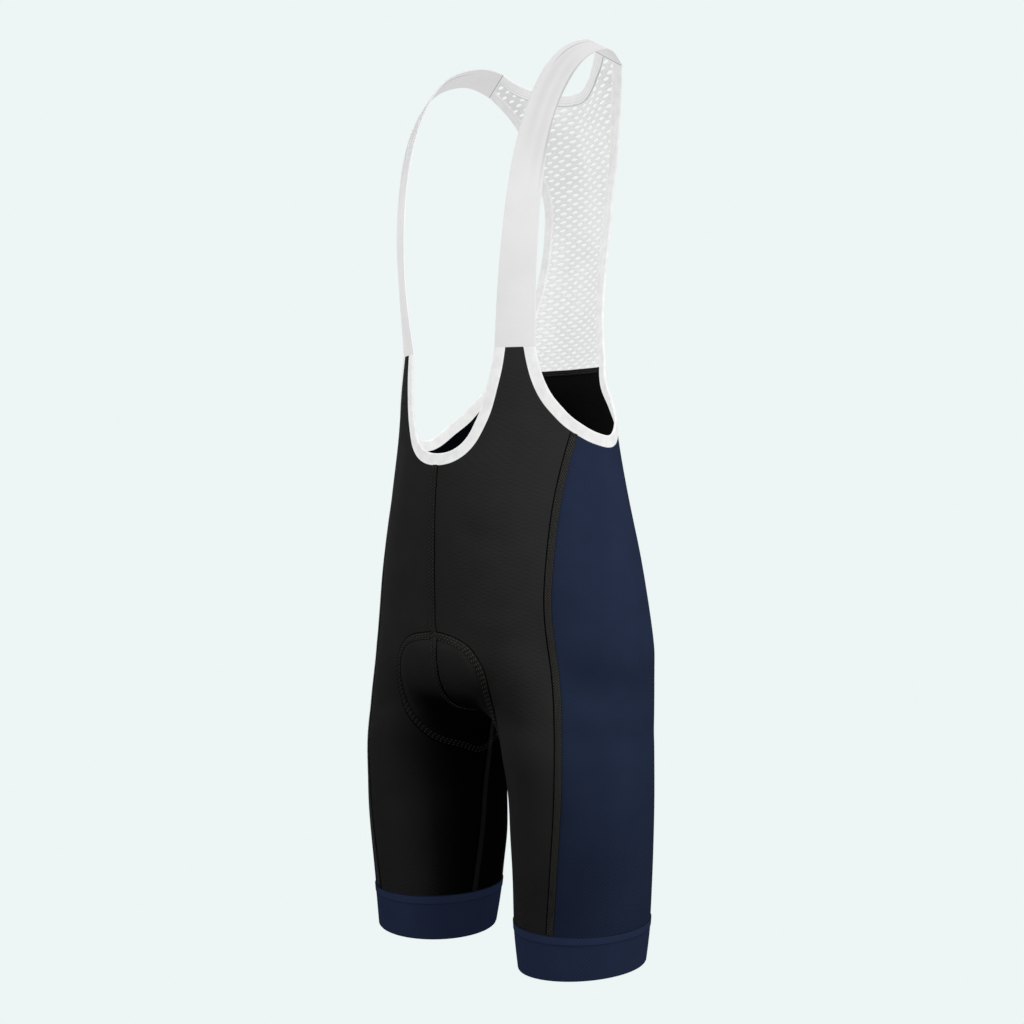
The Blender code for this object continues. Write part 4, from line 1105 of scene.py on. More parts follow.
@dataclass
class Seams:
    """Flat covered seams: down the middle, at the side panels, inside the legs, round the pad."""

    pattern: Pattern
    cloth: bpy.types.Material
    thread: bpy.types.Material
    side_rows: StitchRows = StitchRows(0.0012, 0.0012, 5, Stitch(0.0027, 0.0013))
    middle_rows: StitchRows = StitchRows(0.0014, 0.0022, 3, Stitch(0.0036, 0.0016))
    pad_rows: StitchRows = StitchRows(0.0014, 0.0022, 3, Stitch(0.0046, 0.0024))
    side_offset: float = -0.0058
    inner_offset: float = -0.0035
    pad_points: int = 420
    pad_lap: int = 6  # knots repeated past each end of the pad's closed line
    waist_width: float = 0.0066
    waist_thickness: float = 0.0022
    waist_rounding: float = 0.0007
    waist_rise: float = 0.0010  # of its upper edge above the seat's
    waist_gap: float = 3.0  # degrees short of the side opening's band
    waist_points: int = 121
    waist_steps: int = 8
    waist_rows: tuple[int, ...] = (4, 7, 10)  # columns that the stitches run along
    waist_ends: int = 4  # points left free at each end
    waist_stitch: Stitch = Stitch(0.0030, 0.0017)

    def pad_line(self) -> Array:
        """Outline of the seat pad as a closed line under the body."""
        table = np.asarray(PAD_OUTLINE)
        right = crotch_ray(table[:, 0], -table[:, 1])
        left = crotch_ray(table[-2:0:-1, 0], table[-2:0:-1, 2])
        knots, lap = np.concatenate([right, left]), self.pad_lap
        knots = np.concatenate([knots[-lap:], knots, knots[: lap + 1]])
        run = along(knots)
        fine = spline(run, knots, np.linspace(run[lap], run[-lap - 1], 40 * len(knots)))
        return read_line(np.linspace(0, 1, self.pad_points + 1)[:-1], along(fine), fine)

    def waist(self) -> list[bpy.types.Object]:
        """Strip that covers the join of net and seat, on both faces of the seat's top edge."""
        end = self.pattern.side_cloth[self.pattern.to_waist]
        half_width, _, back = section(TRUNK, end[2])
        deep = (end[1] - TRUNK_MIDDLE) / (back - TRUNK_MIDDLE)
        reach = float(np.degrees(np.arctan2(end[0] / half_width, -deep))) - self.waist_gap
        places = crowded(self.waist_width, self.waist_rounding, self.waist_steps)
        degrees = np.linspace(reach, 360 - reach, self.waist_points)
        heights = BACK_WAIST + self.waist_rise - places
        grid = trunk_round(*np.meshgrid(degrees, heights, indexing="ij"))
        normals = outward(grid)
        points = lifted(grid, normals)
        sizes = (places, self.waist_thickness, self.waist_rounding)
        wall = Wall.of_strip(points, normals, *sizes, flat=band_map(grid))
        piece = wall.build("back_waist_seam", self.cloth, "black_knit")
        beads, inner = [], slice(self.waist_ends, -self.waist_ends)
        for row, column in enumerate(self.waist_rows):
            for sign in (1, -1):
                way = normals[inner, column]
                line = points[inner, column] + way * (sign * self.waist_thickness - WALL) / 2
                beads.append(self.waist_stitch.row(line, way, row))
        return [piece, add_stitches("back_waist_stitches", beads, self.thread, "black_knit")]

    def build(self) -> dict[str, list[bpy.types.Object]]:
        """All the strips and their stitches, by the node that they are sewn to."""
        cut = self.pattern
        middle = np.concatenate([cut.middle_front, cut.middle_back[-2::-1]])
        shift = -np.interp(-middle[:, 2], *CENTRE_SHIFT) * (middle[:, 1] < 0)
        tapes = [
            ("front_left", Tape("centre_seam", middle, self.middle_rows, offset=shift)),
            ("front_left", Tape("pad_seam", self.pad_line(), self.pad_rows, True, ring=True)),
        ]
        for side in Side:
            right = side is Side.RIGHT
            for seam, panel, line, turned, offset in (
                ("front_seam", "side", cut.front_seam, not right, self.side_offset),
                ("back_seam", "side", cut.back_seam, right, self.side_offset),
                ("inner_seam", "front", cut.inseam, right, self.inner_offset),
            ):
                name, line = f"{seam}_{side.label}", side.turned(line)
                tape = Tape(name, line, self.side_rows, turned, offset=offset)
                tapes.append((f"{panel}_{side.label}", tape))
        made = {}
        for node, tape in tapes:
            made.setdefault(node, []).extend(tape.build(self.cloth, self.thread))
        made["back_left"] = self.waist()
        return made


@dataclass
class Bindings:
    """Folded bands round the front neckline, the back neckline and both side openings."""

    pattern: Pattern
    material: bpy.types.Material
    by_net: bpy.types.Material
    thread: bpy.types.Material
    rounding: float = 0.0011
    steps: int = 14
    stitch: Stitch = Stitch(0.0032, 0.0021, 0.0006, 0.0006)
    stitch_places: tuple[float, ...] = (0.0026, 0.0082, 0.0104)

    def strip(self, band: Band, both: bool = False) -> Wall:
        """One band as a wall with rounded edges, on the left or with its mirror image."""
        places = crowded(BAND_WIDTH, self.rounding, self.steps)
        grid = band.across(places)
        normals = np.repeat(band.normals[:, None], len(places), 1)
        normals[band.settled] = outward(grid[band.settled])
        if band.settled[0]:
            grid[0, :, 2] = STRAP_BASE
            normals = level_first(normals)
        if both:
            grid[-1, :, 0] = 0.0
            grid = np.concatenate([grid, Side.RIGHT.turned(grid)[-2::-1]])
            normals = np.concatenate([normals, Side.RIGHT.turned(normals)[-2::-1]])
        sizes = (places, BAND_WALL, self.rounding)
        return Wall.of_strip(grid, normals, *sizes, middle=BAND_PROUD - BAND_WALL / 2)

    def rows(self, band: Band) -> list[Array]:
        """Rows of stitches on both faces of a band."""
        rows = []
        for number, place in enumerate(self.stitch_places):
            line = band.across(np.array([place]))[:, 0]
            for face in (BAND_PROUD, BAND_PROUD - BAND_WALL):
                rows.append(self.stitch.row(line + band.normals * face, band.normals, number))
        return rows

    def stitches(self) -> dict[str, list[bpy.types.Object]]:
        """The stitches of the bands beside the net, by the band's node."""
        cut, waist = self.pattern, self.pattern.to_waist
        lines = [part[waist:] for part in (cut.side.edge, cut.side.ways, cut.side.normals)]
        neck = self.rows(cut.back_neck)
        beside = self.rows(Band(*lines, np.zeros(len(lines[0]), bool)))
        both = [*neck, *map(Side.RIGHT.turned, neck)]
        rows = {"back_neck_binding": ("back_neck_stitches", both)}
        for side in Side:
            name = f"side_band_stitches_{side.label}"
            rows[f"side_binding_{side.label}"] = (name, [side.turned(row) for row in beside])
        return {
            node: [add_stitches(*named, self.thread, "pale_binding")]
            for node, named in rows.items()
        }

    def build(self) -> dict[str, bpy.types.Object]:
        """The four bands, by the node that each replaces."""
        cut = self.pattern
        made = {}
        for name, band, material in (
            ("neck", cut.neck, self.material), ("back_neck", cut.back_neck, self.by_net)
        ):
            node = f"{name}_binding"
            wall = self.strip(band, both=True)
            made[node] = wall.build(f"{name}_band", material, "pale_binding", node)
        pair = self.strip(cut.side).pair("side_band", "side_binding", self.material, "pale_binding")
        return {**made, **pair}


@dataclass
class Grippers:
    """Leg bands: closed rings round the legs below the panels, with a rounded hem.

    The rings' rows lie closest at the two edges and where the strip at the top ends, which stands
    out a little further than the rest.
    """

    material: bpy.types.Material
    columns: int = 168
    body_rows: int = 14
    start: float = -97.0  # degrees from the front where the ring's own seam lies
    top_strip: float = 0.0082
    strip_proud: float = 0.0005
    rounding: float = 0.0006
    least_edge: float = 0.3
    edge_shares: tuple[float, ...] = (0.0, 0.004, 0.012, 0.03)
    on_strip: float = 0.1
    before_step: float = 0.02
    after_step: float = 0.03

    def build(self) -> dict[str, bpy.types.Object]:
        """Both rings, by the node that each replaces."""
        round_leg = np.linspace(0, 1, self.columns + 1)[:-1]
        turn = np.radians(self.start) + TURN * round_leg
        middle_x, middle_y, half_width, half_depth, _ = section(LEG, GRIPPER_TOP)
        x, y = middle_x + half_width * np.sin(turn), middle_y - half_depth * np.cos(turn)
        ring = np.stack([x, y], -1)
        height = GRIPPER_TOP - HEM
        edge, strip = np.array(self.edge_shares), self.top_strip / height
        body = np.linspace(strip + self.after_step, 1 - edge[-1], self.body_rows)
        ledge = [self.on_strip, strip - self.before_step, strip]
        share = np.concatenate([edge, ledge, body, 1 - edge[2::-1]])[:, None]
        levels = leg_level(ring, GRIPPER_TOP) * (1 - share)
        levels = levels + leg_level(ring, HEM, HEM_RISE_OUT) * share
        grid = np.concatenate([np.repeat(ring[None], len(share), 0), levels[..., None]], -1)
        grid = settle(grid)
        grid[[0, -1], :, 2] = levels[[0, -1]]
        places = share * height
        half = GRIPPER_WALL / 2 * rounded(places, self.rounding, self.least_edge)
        middle = GRIPPER_PROUD - GRIPPER_WALL / 2
        past = (share - strip + self.before_step) / (self.before_step + self.after_step)
        step = self.strip_proud * (1 - smooth_step(past))
        girth = float(run_length(ring)[-1] / (1 - 1 / self.columns))
        flat = np.stack(np.broadcast_arrays(round_leg * girth, -places), -1)
        normals = level_first(outward(grid))
        wall = Wall.of_grid(grid, normals, flat, middle + half + step, middle - half, girth)
        return wall.pair("leg_band", "gripper", self.material, "navy_band")


@dataclass
class Straps:
    """Shoulder straps: flat webbing between two edge lines, arched across at its base."""

    material: bpy.types.Material
    seam: bpy.types.Material
    rows: int = 170
    steps: int = 22
    rounding: float = 0.0007
    join_points: int = 25
    join_steps: int = 5
    join_width: float = 0.0038
    join_thickness: float = 0.0020
    join_rounding: float = 0.0006
    join_lap: float = 0.0012  # how far the join's strip reaches over the strap
    join_gap: float = 0.0004  # left free at each end

    def joins(self) -> dict[str, list[bpy.types.Object]]:
        """Strips over the seams where the straps meet the net, by the strap's node."""
        way, normal = strap_seam()
        neck, outer = np.array(STRAP[-1][:3]), np.array(STRAP[-1][3:])
        end = float(np.linalg.norm(outer - neck)) - self.join_gap
        down = unit(np.cross(normal, way))
        down = down * -np.sign(down[2])
        places = crowded(self.join_width, self.join_rounding, self.join_steps)
        line = neck + way * np.linspace(self.join_gap, end, self.join_points)[:, None]
        grid = line[:, None] + down * (places - self.join_lap)[None, :, None]
        normals = np.broadcast_to(normal, grid.shape)
        wall = Wall.of_strip(grid, normals, places, self.join_thickness, self.join_rounding)
        pair = wall.pair("strap_join", "strap", self.seam, "pale_binding", replaced=False)
        return {node: [piece] for node, piece in pair.items()}

    def build(self) -> dict[str, bpy.types.Object]:
        """Both straps, by the node that each replaces."""
        table = np.asarray(STRAP)
        even = np.linspace(0, 1, self.rows + 1)
        both = spline(along((table[:, :3] + table[:, 3:]) / 2), table, even)
        neck, outer = both[:, None, :3], both[:, None, 3:]
        width = float(np.linalg.norm(outer - neck, axis=-1).mean())
        places = crowded(width, self.rounding, self.steps)
        share = (places / width)[None, :, None]
        normals = unit(np.cross(outer - neck, tangents(both[:, :3] + both[:, 3:])[:, None]))
        fade = (1 - even)[:, None, None] ** 2
        grid = neck * (1 - share) + outer * share
        grid = grid + normals * STRAP_CROWN * fade * 4 * share * (1 - share)
        grid[0, :, 2] = STRAP_BASE
        normals = level_first(np.repeat(normals, len(places), 1))
        normals[-1] = strap_seam()[1]
        wall = Wall.of_strip(grid, normals, places, WALL, self.rounding)
        return wall.pair("shoulder_strap", "strap", self.material, "pale_webbing")


@dataclass
class Net:
    """Net back, knitted with rows of leaf-shaped holes, every second row half a pitch along.

    The plane of x and height is laid out in bricks, one hole in each. A brick has sixteen corners
    on its border, a ring round its hole and a ring on the hole's rim; their y comes from a plane
    fitted to the nearest points of the net's own surface.
    """

    pattern: Pattern
    material: bpy.types.Material
    pitch: float = 0.0150
    lowest: float = -0.3265
    highest: float = 0.004
    row_steps: tuple[tuple[float, ...], ...] = ((-0.31, -0.15, -0.03), (0.00395, 0.0045, 0.0047))
    bricks: int = 9  # on each side of the middle
    corners: int = 16
    hole: tuple[float, float] = (0.0074, 0.0021)
    tilt: float = 7.0
    tilt_spread: float = 2.0
    size_spread: float = 0.08
    pointedness: float = 0.35
    thickness: float = 0.0010
    lip: float = 0.0005
    lip_depth: float = 0.00002
    rim_depth: float = 0.00030
    # painted shade: the lip mark's value on the ring round each hole
    painted_hole_shade: float = -0.15
    relaxing: int = 150
    columns: int = 24
    under_band: float = 0.0075
    under_seat: float = 0.0030
    under_cloth: float = 0.0002
    waist_blend: float = 0.014
    nearest: int = 10
    chunk: int = 1500
    seat_turns: tuple[float, float, int] = (118.0, 180.0, 40)
    seat_heights: tuple[float, float, int] = (-0.328, -0.315, 4)
    mirrored_past: float = 0.02  # width of the strip by the middle that is mirrored to the right

    def surface(self) -> Array:
        """Points all over the net and on under its bands."""
        cut = self.pattern
        inner = net_inner_line(cut.back_neck, BAND_WIDTH)
        side = cut.side.across(np.linspace(BAND_WIDTH, 0.001, 5))[cut.to_waist :]
        share = np.linspace(0, 1, self.columns + 1)[None, :]
        rows = len(inner)
        over = (np.arange(rows) - ROWS.net_middle) / (rows - 1 - ROWS.net_middle)
        bend = share ** (2 - np.clip(over, 0, 1)[:, None])
        grid = inner[:, None] * (1 - share[..., None]) + side[:, :1] * share[..., None]
        deep = inner[:, None, 1] * (1 - bend) + side[:, :1, 1] * bend
        open_rows = slice(1, ROWS.net_middle)
        for _ in range(self.relaxing):
            spread = deep[1:-1, 1:-1] * 2 + deep[:-2, 1:-1] + deep[2:, 1:-1]
            spread = (spread + deep[1:-1, :-2] + deep[1:-1, 2:]) / 6
            deep[open_rows, 0] = deep[open_rows, 1]
            deep[1:-1, 1:-1] = spread
        grid[..., 1] = deep
        neck = cut.back_neck.across(np.linspace(0.001, BAND_WIDTH - 0.002, 4))
        seat = np.meshgrid(np.linspace(*self.seat_turns), np.linspace(*self.seat_heights))
        parts = (grid, side[:, 1:], neck, trunk_round(*seat))
        points = np.concatenate([part.reshape(-1, 3) for part in parts])
        mirror = points[(points[:, 0] > 1e-5) & (points[:, 0] < self.mirrored_past)]
        return np.concatenate([points, Side.RIGHT.turned(mirror)])

    def outline(self) -> tuple[Array, Array]:
        """Edge of the left half's cloth as x and height, and how far the net runs on past it."""
        cut = self.pattern
        inner = net_inner_line(cut.back_neck, BAND_WIDTH)[ROWS.net_middle :]
        side = cut.side.across(np.array([BAND_WIDTH]))[cut.to_waist :, 0][::-1]
        seam = inner[-1] + (side[0] - inner[-1]) * np.linspace(0, 1, 30)[1:-1, None]
        waist = side[-1] * np.linspace(1, 0, 80)[1:, None]
        waist[:, 2] = BACK_WAIST
        parts = (inner, seam, side, waist)
        reach = (self.under_band, TUCK, self.under_band, self.under_seat)
        reach = np.concatenate([np.full(len(part), r) for part, r in zip(parts, reach)])
        return np.concatenate(parts)[:, [0, 2]], reach

    @staticmethod
    def inside(points: Array, edge: Array) -> Array:
        """Which points lie inside the closed outline, by counting its crossings."""
        after = np.roll(edge, -1, axis=0)
        x, z = points[:, None, 0], points[:, None, 1]
        spans = (edge[None, :, 1] > z) != (after[None, :, 1] > z)
        rise = np.where(after[:, 1] == edge[:, 1], 1e-12, after[:, 1] - edge[:, 1])
        at = edge[:, 0] + (z - edge[:, 1]) / rise * (after[:, 0] - edge[:, 0])
        return (spans & (x < at)).sum(1) % 2 == 1

    @staticmethod
    def right_signs(flat: Array) -> Array:
        """-1 for each place on the wearer's right and 1 for the others, as a column."""
        return np.where(flat[:, :1] < 0, -1.0, 1.0)

    def held_in(self, points: Array) -> Array:
        """The points, with any that lie past the cloth's edge by more than its reach drawn in."""
        edge, reach = self.outline()
        flat = np.abs(points) * [1, 0] + points * [0, 1]
        gap = np.linalg.norm(flat[:, None] - edge[None], axis=2)
        near = gap.argmin(1)
        gap = gap[np.arange(len(flat)), near]
        out = ~self.inside(flat, edge) & (gap > reach[near])
        drawn = edge[near] + (flat - edge[near]) * (reach[near] / np.maximum(gap, 1e-9))[:, None]
        flat = np.where(out[:, None], drawn, flat)
        neck, outer = np.array(STRAP[-1])[[0, 2]], np.array(STRAP[-1])[[3, 5]]
        over = unit(np.array([neck[1] - outer[1], outer[0] - neck[0]]))
        past = np.maximum((flat - neck) @ over - TUCK, 0)
        flat = flat - past[:, None] * over
        flat[:, 1] = np.maximum(flat[:, 1], BACK_WAIST - self.under_seat)
        return np.hstack([flat[:, :1] * self.right_signs(points), flat[:, 1:]])

    def fitted(self, place: Array, samples: Array) -> tuple[Array, Array]:
        """Points and normals on planes of y over x and height, each fitted to near samples.

        A sample weighs 1 / its squared distance; the slopes are held a little towards zero.
        """
        gap = ((place[:, None] - samples[None][..., [0, 2]]) ** 2).sum(2)
        near = np.argpartition(gap, self.nearest, axis=1)[:, : self.nearest]
        gap, picked = np.take_along_axis(gap, near, 1), samples[near]
        weight = 1 / (gap + 1e-6)
        away = picked[..., [0, 2]] - place[:, None]
        terms = np.concatenate([np.ones_like(gap)[..., None], away], -1)
        left = np.einsum("ni,nij,nik->njk", weight, terms, terms)
        left += np.eye(3) * np.array([0, 1e-7, 1e-7]) * weight.sum(1)[:, None, None]
        right = np.einsum("ni,nij,ni->nj", weight, terms, picked[..., 1])
        fit = np.linalg.solve(left, right[..., None])[..., 0]
        share = smooth_step((place[:, 1] - BACK_WAIST) / self.waist_blend)
        half_width, _, back = section(TRUNK, place[:, 1])
        seat = np.sqrt(np.maximum(1 - (place[:, 0] / half_width) ** 2, 0))
        seat = TRUNK_MIDDLE + (back - TRUNK_MIDDLE) * seat - self.under_cloth
        deep = fit[:, 0] * share + seat * (1 - share)
        points = np.column_stack([place[:, 0], deep, place[:, 1]])
        return points, unit(np.column_stack([-fit[:, 1], np.ones(len(fit)), -fit[:, 2]]))

    def on_surface(self, flat: Array) -> tuple[Array, Array]:
        """Points and normals of the net at these places in x and height."""
        samples = self.surface()
        half = np.column_stack([np.abs(flat[:, 0]), flat[:, 1]])
        starts = range(0, len(flat), self.chunk)
        parts = [self.fitted(half[first : first + self.chunk], samples) for first in starts]
        turn = np.hstack([self.right_signs(flat), np.ones((len(flat), 2))])
        points, normals = (np.concatenate(part) * turn for part in zip(*parts))
        return points, normals

    def bordered(self) -> tuple[Array, Array, Array]:
        """Every brick with a corner on the cloth.

        Returns:
            Corners of each brick as x and height, one number for each corner's place in the
            lattice, and each corner's turn about the brick's middle.
        """
        levels = [self.lowest]
        while levels[-1] < self.highest:
            levels.append(levels[-1] + float(np.interp(levels[-1], *self.row_steps)))
        lattice = np.mgrid[0 : len(levels) - 1, -self.bricks : self.bricks + 1]
        row, column = (part.reshape(-1, 1) for part in lattice)
        steps = np.arange(self.corners)[::-1]
        ring_x = np.clip(6 - np.abs((steps + 4) % self.corners - 8), 0, 4)
        ring_z = np.clip(6 - np.abs(steps % self.corners - 8), 0, 4)
        lattice_x, lattice_z = 4 * column + 2 * (row % 2) + ring_x, 4 * row + ring_z
        height = np.interp(lattice_z / 4, np.arange(len(levels)), levels)
        border = np.stack([lattice_x / 4 * self.pitch - self.pitch / 2, height], -1)
        flat = np.stack([np.abs(border[..., 0]), border[..., 1]], -1)
        inside = self.inside(flat.reshape(-1, 2), self.outline()[0])
        keep = inside.reshape(flat.shape[:2]).any(1)
        codes = lattice_x * 100000 + lattice_z
        return border[keep], codes[keep], np.arctan2(ring_z - 2, ring_x - 2)

    def build(self) -> bpy.types.Object:
        """The net as one closed wall with a real opening at every hole."""
        border, codes, turn = self.bordered()
        cells = len(border)
        centre = (border[:, 0] + border[:, self.corners // 2]) / 2
        random = np.random.default_rng(11)
        size = 1 + self.size_spread * random.standard_normal((cells, 2))
        lean = self.tilt + self.tilt_spread * random.standard_normal(cells)
        across = self.hole[0] / 2 * np.cos(turn) * size[:, :1]
        leaf = np.sin(turn) * np.abs(np.sin(turn)) ** self.pointedness
        up = self.hole[1] / 2 * leaf * size[:, 1:] + across * np.tan(np.radians(lean))[:, None]
        hole = centre[:, None] + np.stack([across, up], -1)
        gap = np.linalg.norm(border - hole, axis=-1, keepdims=True)
        lip = hole + (border - hole) / gap * np.minimum(self.lip, 0.5 * gap)
        _, first, place = np.unique(codes, return_index=True, return_inverse=True)
        corners = border.reshape(-1, 2)[first]
        own = np.arange(codes.size).reshape(codes.shape) + len(corners)
        rings = [place.reshape(codes.shape), own, own + codes.size]
        faces = [
            np.stack([a, np.roll(a, -1, 1), np.roll(b, -1, 1), b], -1).reshape(-1, 4)
            for a, b in zip(rings, rings[1:])
        ]
        flat = np.concatenate([corners, lip.reshape(-1, 2), hole.reshape(-1, 2)])
        flat = self.held_in(flat)
        points, normals = self.on_surface(flat)
        counts = (len(corners), codes.size, codes.size)
        depth = np.repeat([0.0, self.lip_depth, self.rim_depth], counts)
        skins = (-depth, depth - self.thickness)
        points = lifted(points, normals)
        wall = Wall(points, normals, np.concatenate(faces), flat, *skins)
        piece = wall.build("net_cloth", self.material, "pale_net", "net_back")
        # Lip mark: 0 on the brick corners, painted shade on the ring round each hole, 1 on its rim for
        # a painted highlight.
        add_values(piece, "lip", np.tile(np.repeat([0.0, self.painted_hole_shade, 1.0], counts), 2))
        log.info("net: %d holes", cells)
        return piece


# ---------------------------------------------------------------- finishes


def linear(red: float, green: float, blue: float) -> tuple[float, float, float, float]:
    """A colour given as display values from 0 to 255, in linear light."""
    share = np.array([red, green, blue]) / 255
    value = np.where(share < 0.04045, share / 12.92, ((share + 0.055) / 1.055) ** 2.4)
    return (*(float(v) for v in value), 1.0)


@dataclass
class Tree:
    """A node tree that is being filled."""

    tree: bpy.types.NodeTree

    def feed(self, node: bpy.types.Node, inputs: dict) -> None:
        """Sets each of these inputs of a node, or links it where a socket is given."""
        for key, value in inputs.items():
            if isinstance(value, bpy.types.NodeSocket):
                self.tree.links.new(value, node.inputs[key])
            else:
                node.inputs[key].default_value = value

    def add(self, kind: str, inputs: dict | None = None, **settings: object) -> bpy.types.Node:
        """A new node with its settings and inputs."""
        node = self.tree.nodes.new(kind)
        for name, value in settings.items():
            setattr(node, name, value)
        self.feed(node, inputs or {})
        return node

    def group(self, tree: bpy.types.NodeTree, **inputs: object) -> bpy.types.NodeSocket:
        """Value of a shared group for these inputs."""
        return self.add("ShaderNodeGroup", inputs, node_tree=tree).outputs[0]

    def math(self, operation: str, *values: object, clamp: bool = False) -> bpy.types.NodeSocket:
        """Result of one sum on numbers or sockets."""
        inputs = dict(enumerate(values))
        return self.add("ShaderNodeMath", inputs, operation=operation, use_clamp=clamp).outputs[0]

    def gained(self, mask: object, gain: object) -> bpy.types.NodeSocket:
        """1 where the mask is 0, running to the gain where it is 1."""
        return self.math("MULTIPLY_ADD", mask, self.math("SUBTRACT", gain, 1.0), 1.0)


def start_group(
    name: str, vectors: tuple[str, ...], numbers: tuple[str, ...]
) -> tuple[Tree, bpy.types.NodeOutputs, bpy.types.Node]:
    """An empty shader group with these inputs, the sockets they arrive at, and its last node."""
    tree = bpy.data.node_groups.new(name, "ShaderNodeTree")
    sockets = [(key, "INPUT", "NodeSocketVector") for key in vectors]
    sockets += [(key, "INPUT", "NodeSocketFloat") for key in numbers]
    for key, way, kind in (*sockets, ("Value", "OUTPUT", "NodeSocketFloat")):
        tree.interface.new_socket(key, in_out=way, socket_type=kind)
    fill = Tree(tree)
    return fill, fill.add("NodeGroupInput").outputs, fill.add("NodeGroupOutput")


@dataclass(frozen=True)
class Stripe:
    """A lighter or darker stripe along a strip, at a place across it and over a stretch of it."""

    middle: float
    half: float
    gain: float
    soft: float = 0.0004
    along_middle: float = 0.0
    along_half: float = 9.0
    along_soft: float = 0.03


@dataclass(frozen=True)
class Marks:
    """Rows of short lighter or darker marks along a strip."""

    first: float
    spacing: float
    rows: float
    pitch: float
    share: float
    width: float
    gain: float


def names(kind: type) -> tuple[str, ...]:
    """Names of a dataclass's fields."""
    return tuple(part.name for part in fields(kind))


class Effects:
    """Node groups that several finishes share."""

    def __init__(self) -> None:
        """Makes each group once."""
        self.waves = self._waves()
        self.stripe = self._stripe()
        self.marks = self._marks()
        self.mottle = self._mottle()

    @staticmethod
    def _waves() -> bpy.types.NodeTree:
        """Crossed ribs of a knit: the greater of two sine waves along two directions."""
        fill, get, end = start_group("knit_waves", ("place", "first", "second"), ())
        waves = []
        for name in ("first", "second"):
            dot = fill.add(
                "ShaderNodeVectorMath", {0: get["place"], 1: get[name]}, operation="DOT_PRODUCT"
            )
            turn = fill.math("MULTIPLY", dot.outputs["Value"], TURN)
            waves.append(fill.math("MULTIPLY_ADD", fill.math("SINE", turn), 0.5, 0.5))
        fill.feed(end, {"Value": fill.math("MAXIMUM", *waves)})
        return fill.tree

    @staticmethod
    def _stripe() -> bpy.types.NodeTree:
        """A stripe along a strip, of some length: 1 + (gain - 1) * mask across * mask along.

        Each mask is clamp((half + soft - |place - middle|) / soft), with its own three sizes.
        """
        fill, get, end = start_group("stripe", ("place",), names(Stripe))
        places = fill.add("ShaderNodeSeparateXYZ", {0: get["place"]}).outputs
        masks = []
        for place, way in ((places[0], "along_"), (places[1], "")):
            middle, half, soft = (get[way + name] for name in ("middle", "half", "soft"))
            away = fill.math("ABSOLUTE", fill.math("SUBTRACT", place, middle))
            left = fill.math("SUBTRACT", fill.math("ADD", half, soft), away)
            masks.append(fill.math("DIVIDE", left, soft, clamp=True))
        fill.feed(end, {"Value": fill.gained(fill.math("MULTIPLY", *masks), get["gain"])})
        return fill.tree

    @staticmethod
    def _marks() -> bpy.types.NodeTree:
        """Rows of short marks along a strip, every second row shifted by half a pitch."""
        fill, get, end = start_group("marks", ("place",), names(Marks))
        along_strip, across, _ = fill.add("ShaderNodeSeparateXYZ", {0: get["place"]}).outputs
        row = fill.math("DIVIDE", fill.math("SUBTRACT", across, get["first"]), get["spacing"])
        last = fill.math("SUBTRACT", get["rows"], 1.0)
        nearest = fill.math("MINIMUM", fill.math("MAXIMUM", fill.math("ROUND", row), 0.0), last)
        away = fill.math("ABSOLUTE", fill.math("SUBTRACT", row, nearest))
        away = fill.math("MULTIPLY", away, get["spacing"])
        shift = fill.math("MULTIPLY", fill.math("MODULO", nearest, 2.0), 0.5)
        pitches = fill.math("DIVIDE", along_strip, get["pitch"])
        turn = fill.math("FRACT", fill.math("ADD", pitches, shift))
        near = fill.math("SUBTRACT", 1.0, fill.math("DIVIDE", away, get["width"]), clamp=True)
        mask = fill.math("MULTIPLY", near, fill.math("LESS_THAN", turn, get["share"]))
        fill.feed(end, {"Value": fill.gained(mask, get["gain"])})
        return fill.tree

    @staticmethod
    def _mottle() -> bpy.types.NodeTree:
        """Soft uneven patches between a low and a high value."""
        fill, get, end = start_group("mottle", (), ("scale", "low", "high"))
        place = fill.add("ShaderNodeTexCoord").outputs["Object"]
        inputs = {"Vector": place, "Scale": get["scale"], "Detail": 3.0}
        noise = fill.add("ShaderNodeTexNoise", inputs).outputs[0]
        inputs = {"Value": noise, "From Min": 0.3, "From Max": 0.7}
        inputs |= {"To Min": get["low"], "To Max": get["high"]}
        fill.feed(end, {"Value": fill.add("ShaderNodeMapRange", inputs).outputs[0]})
        return fill.tree


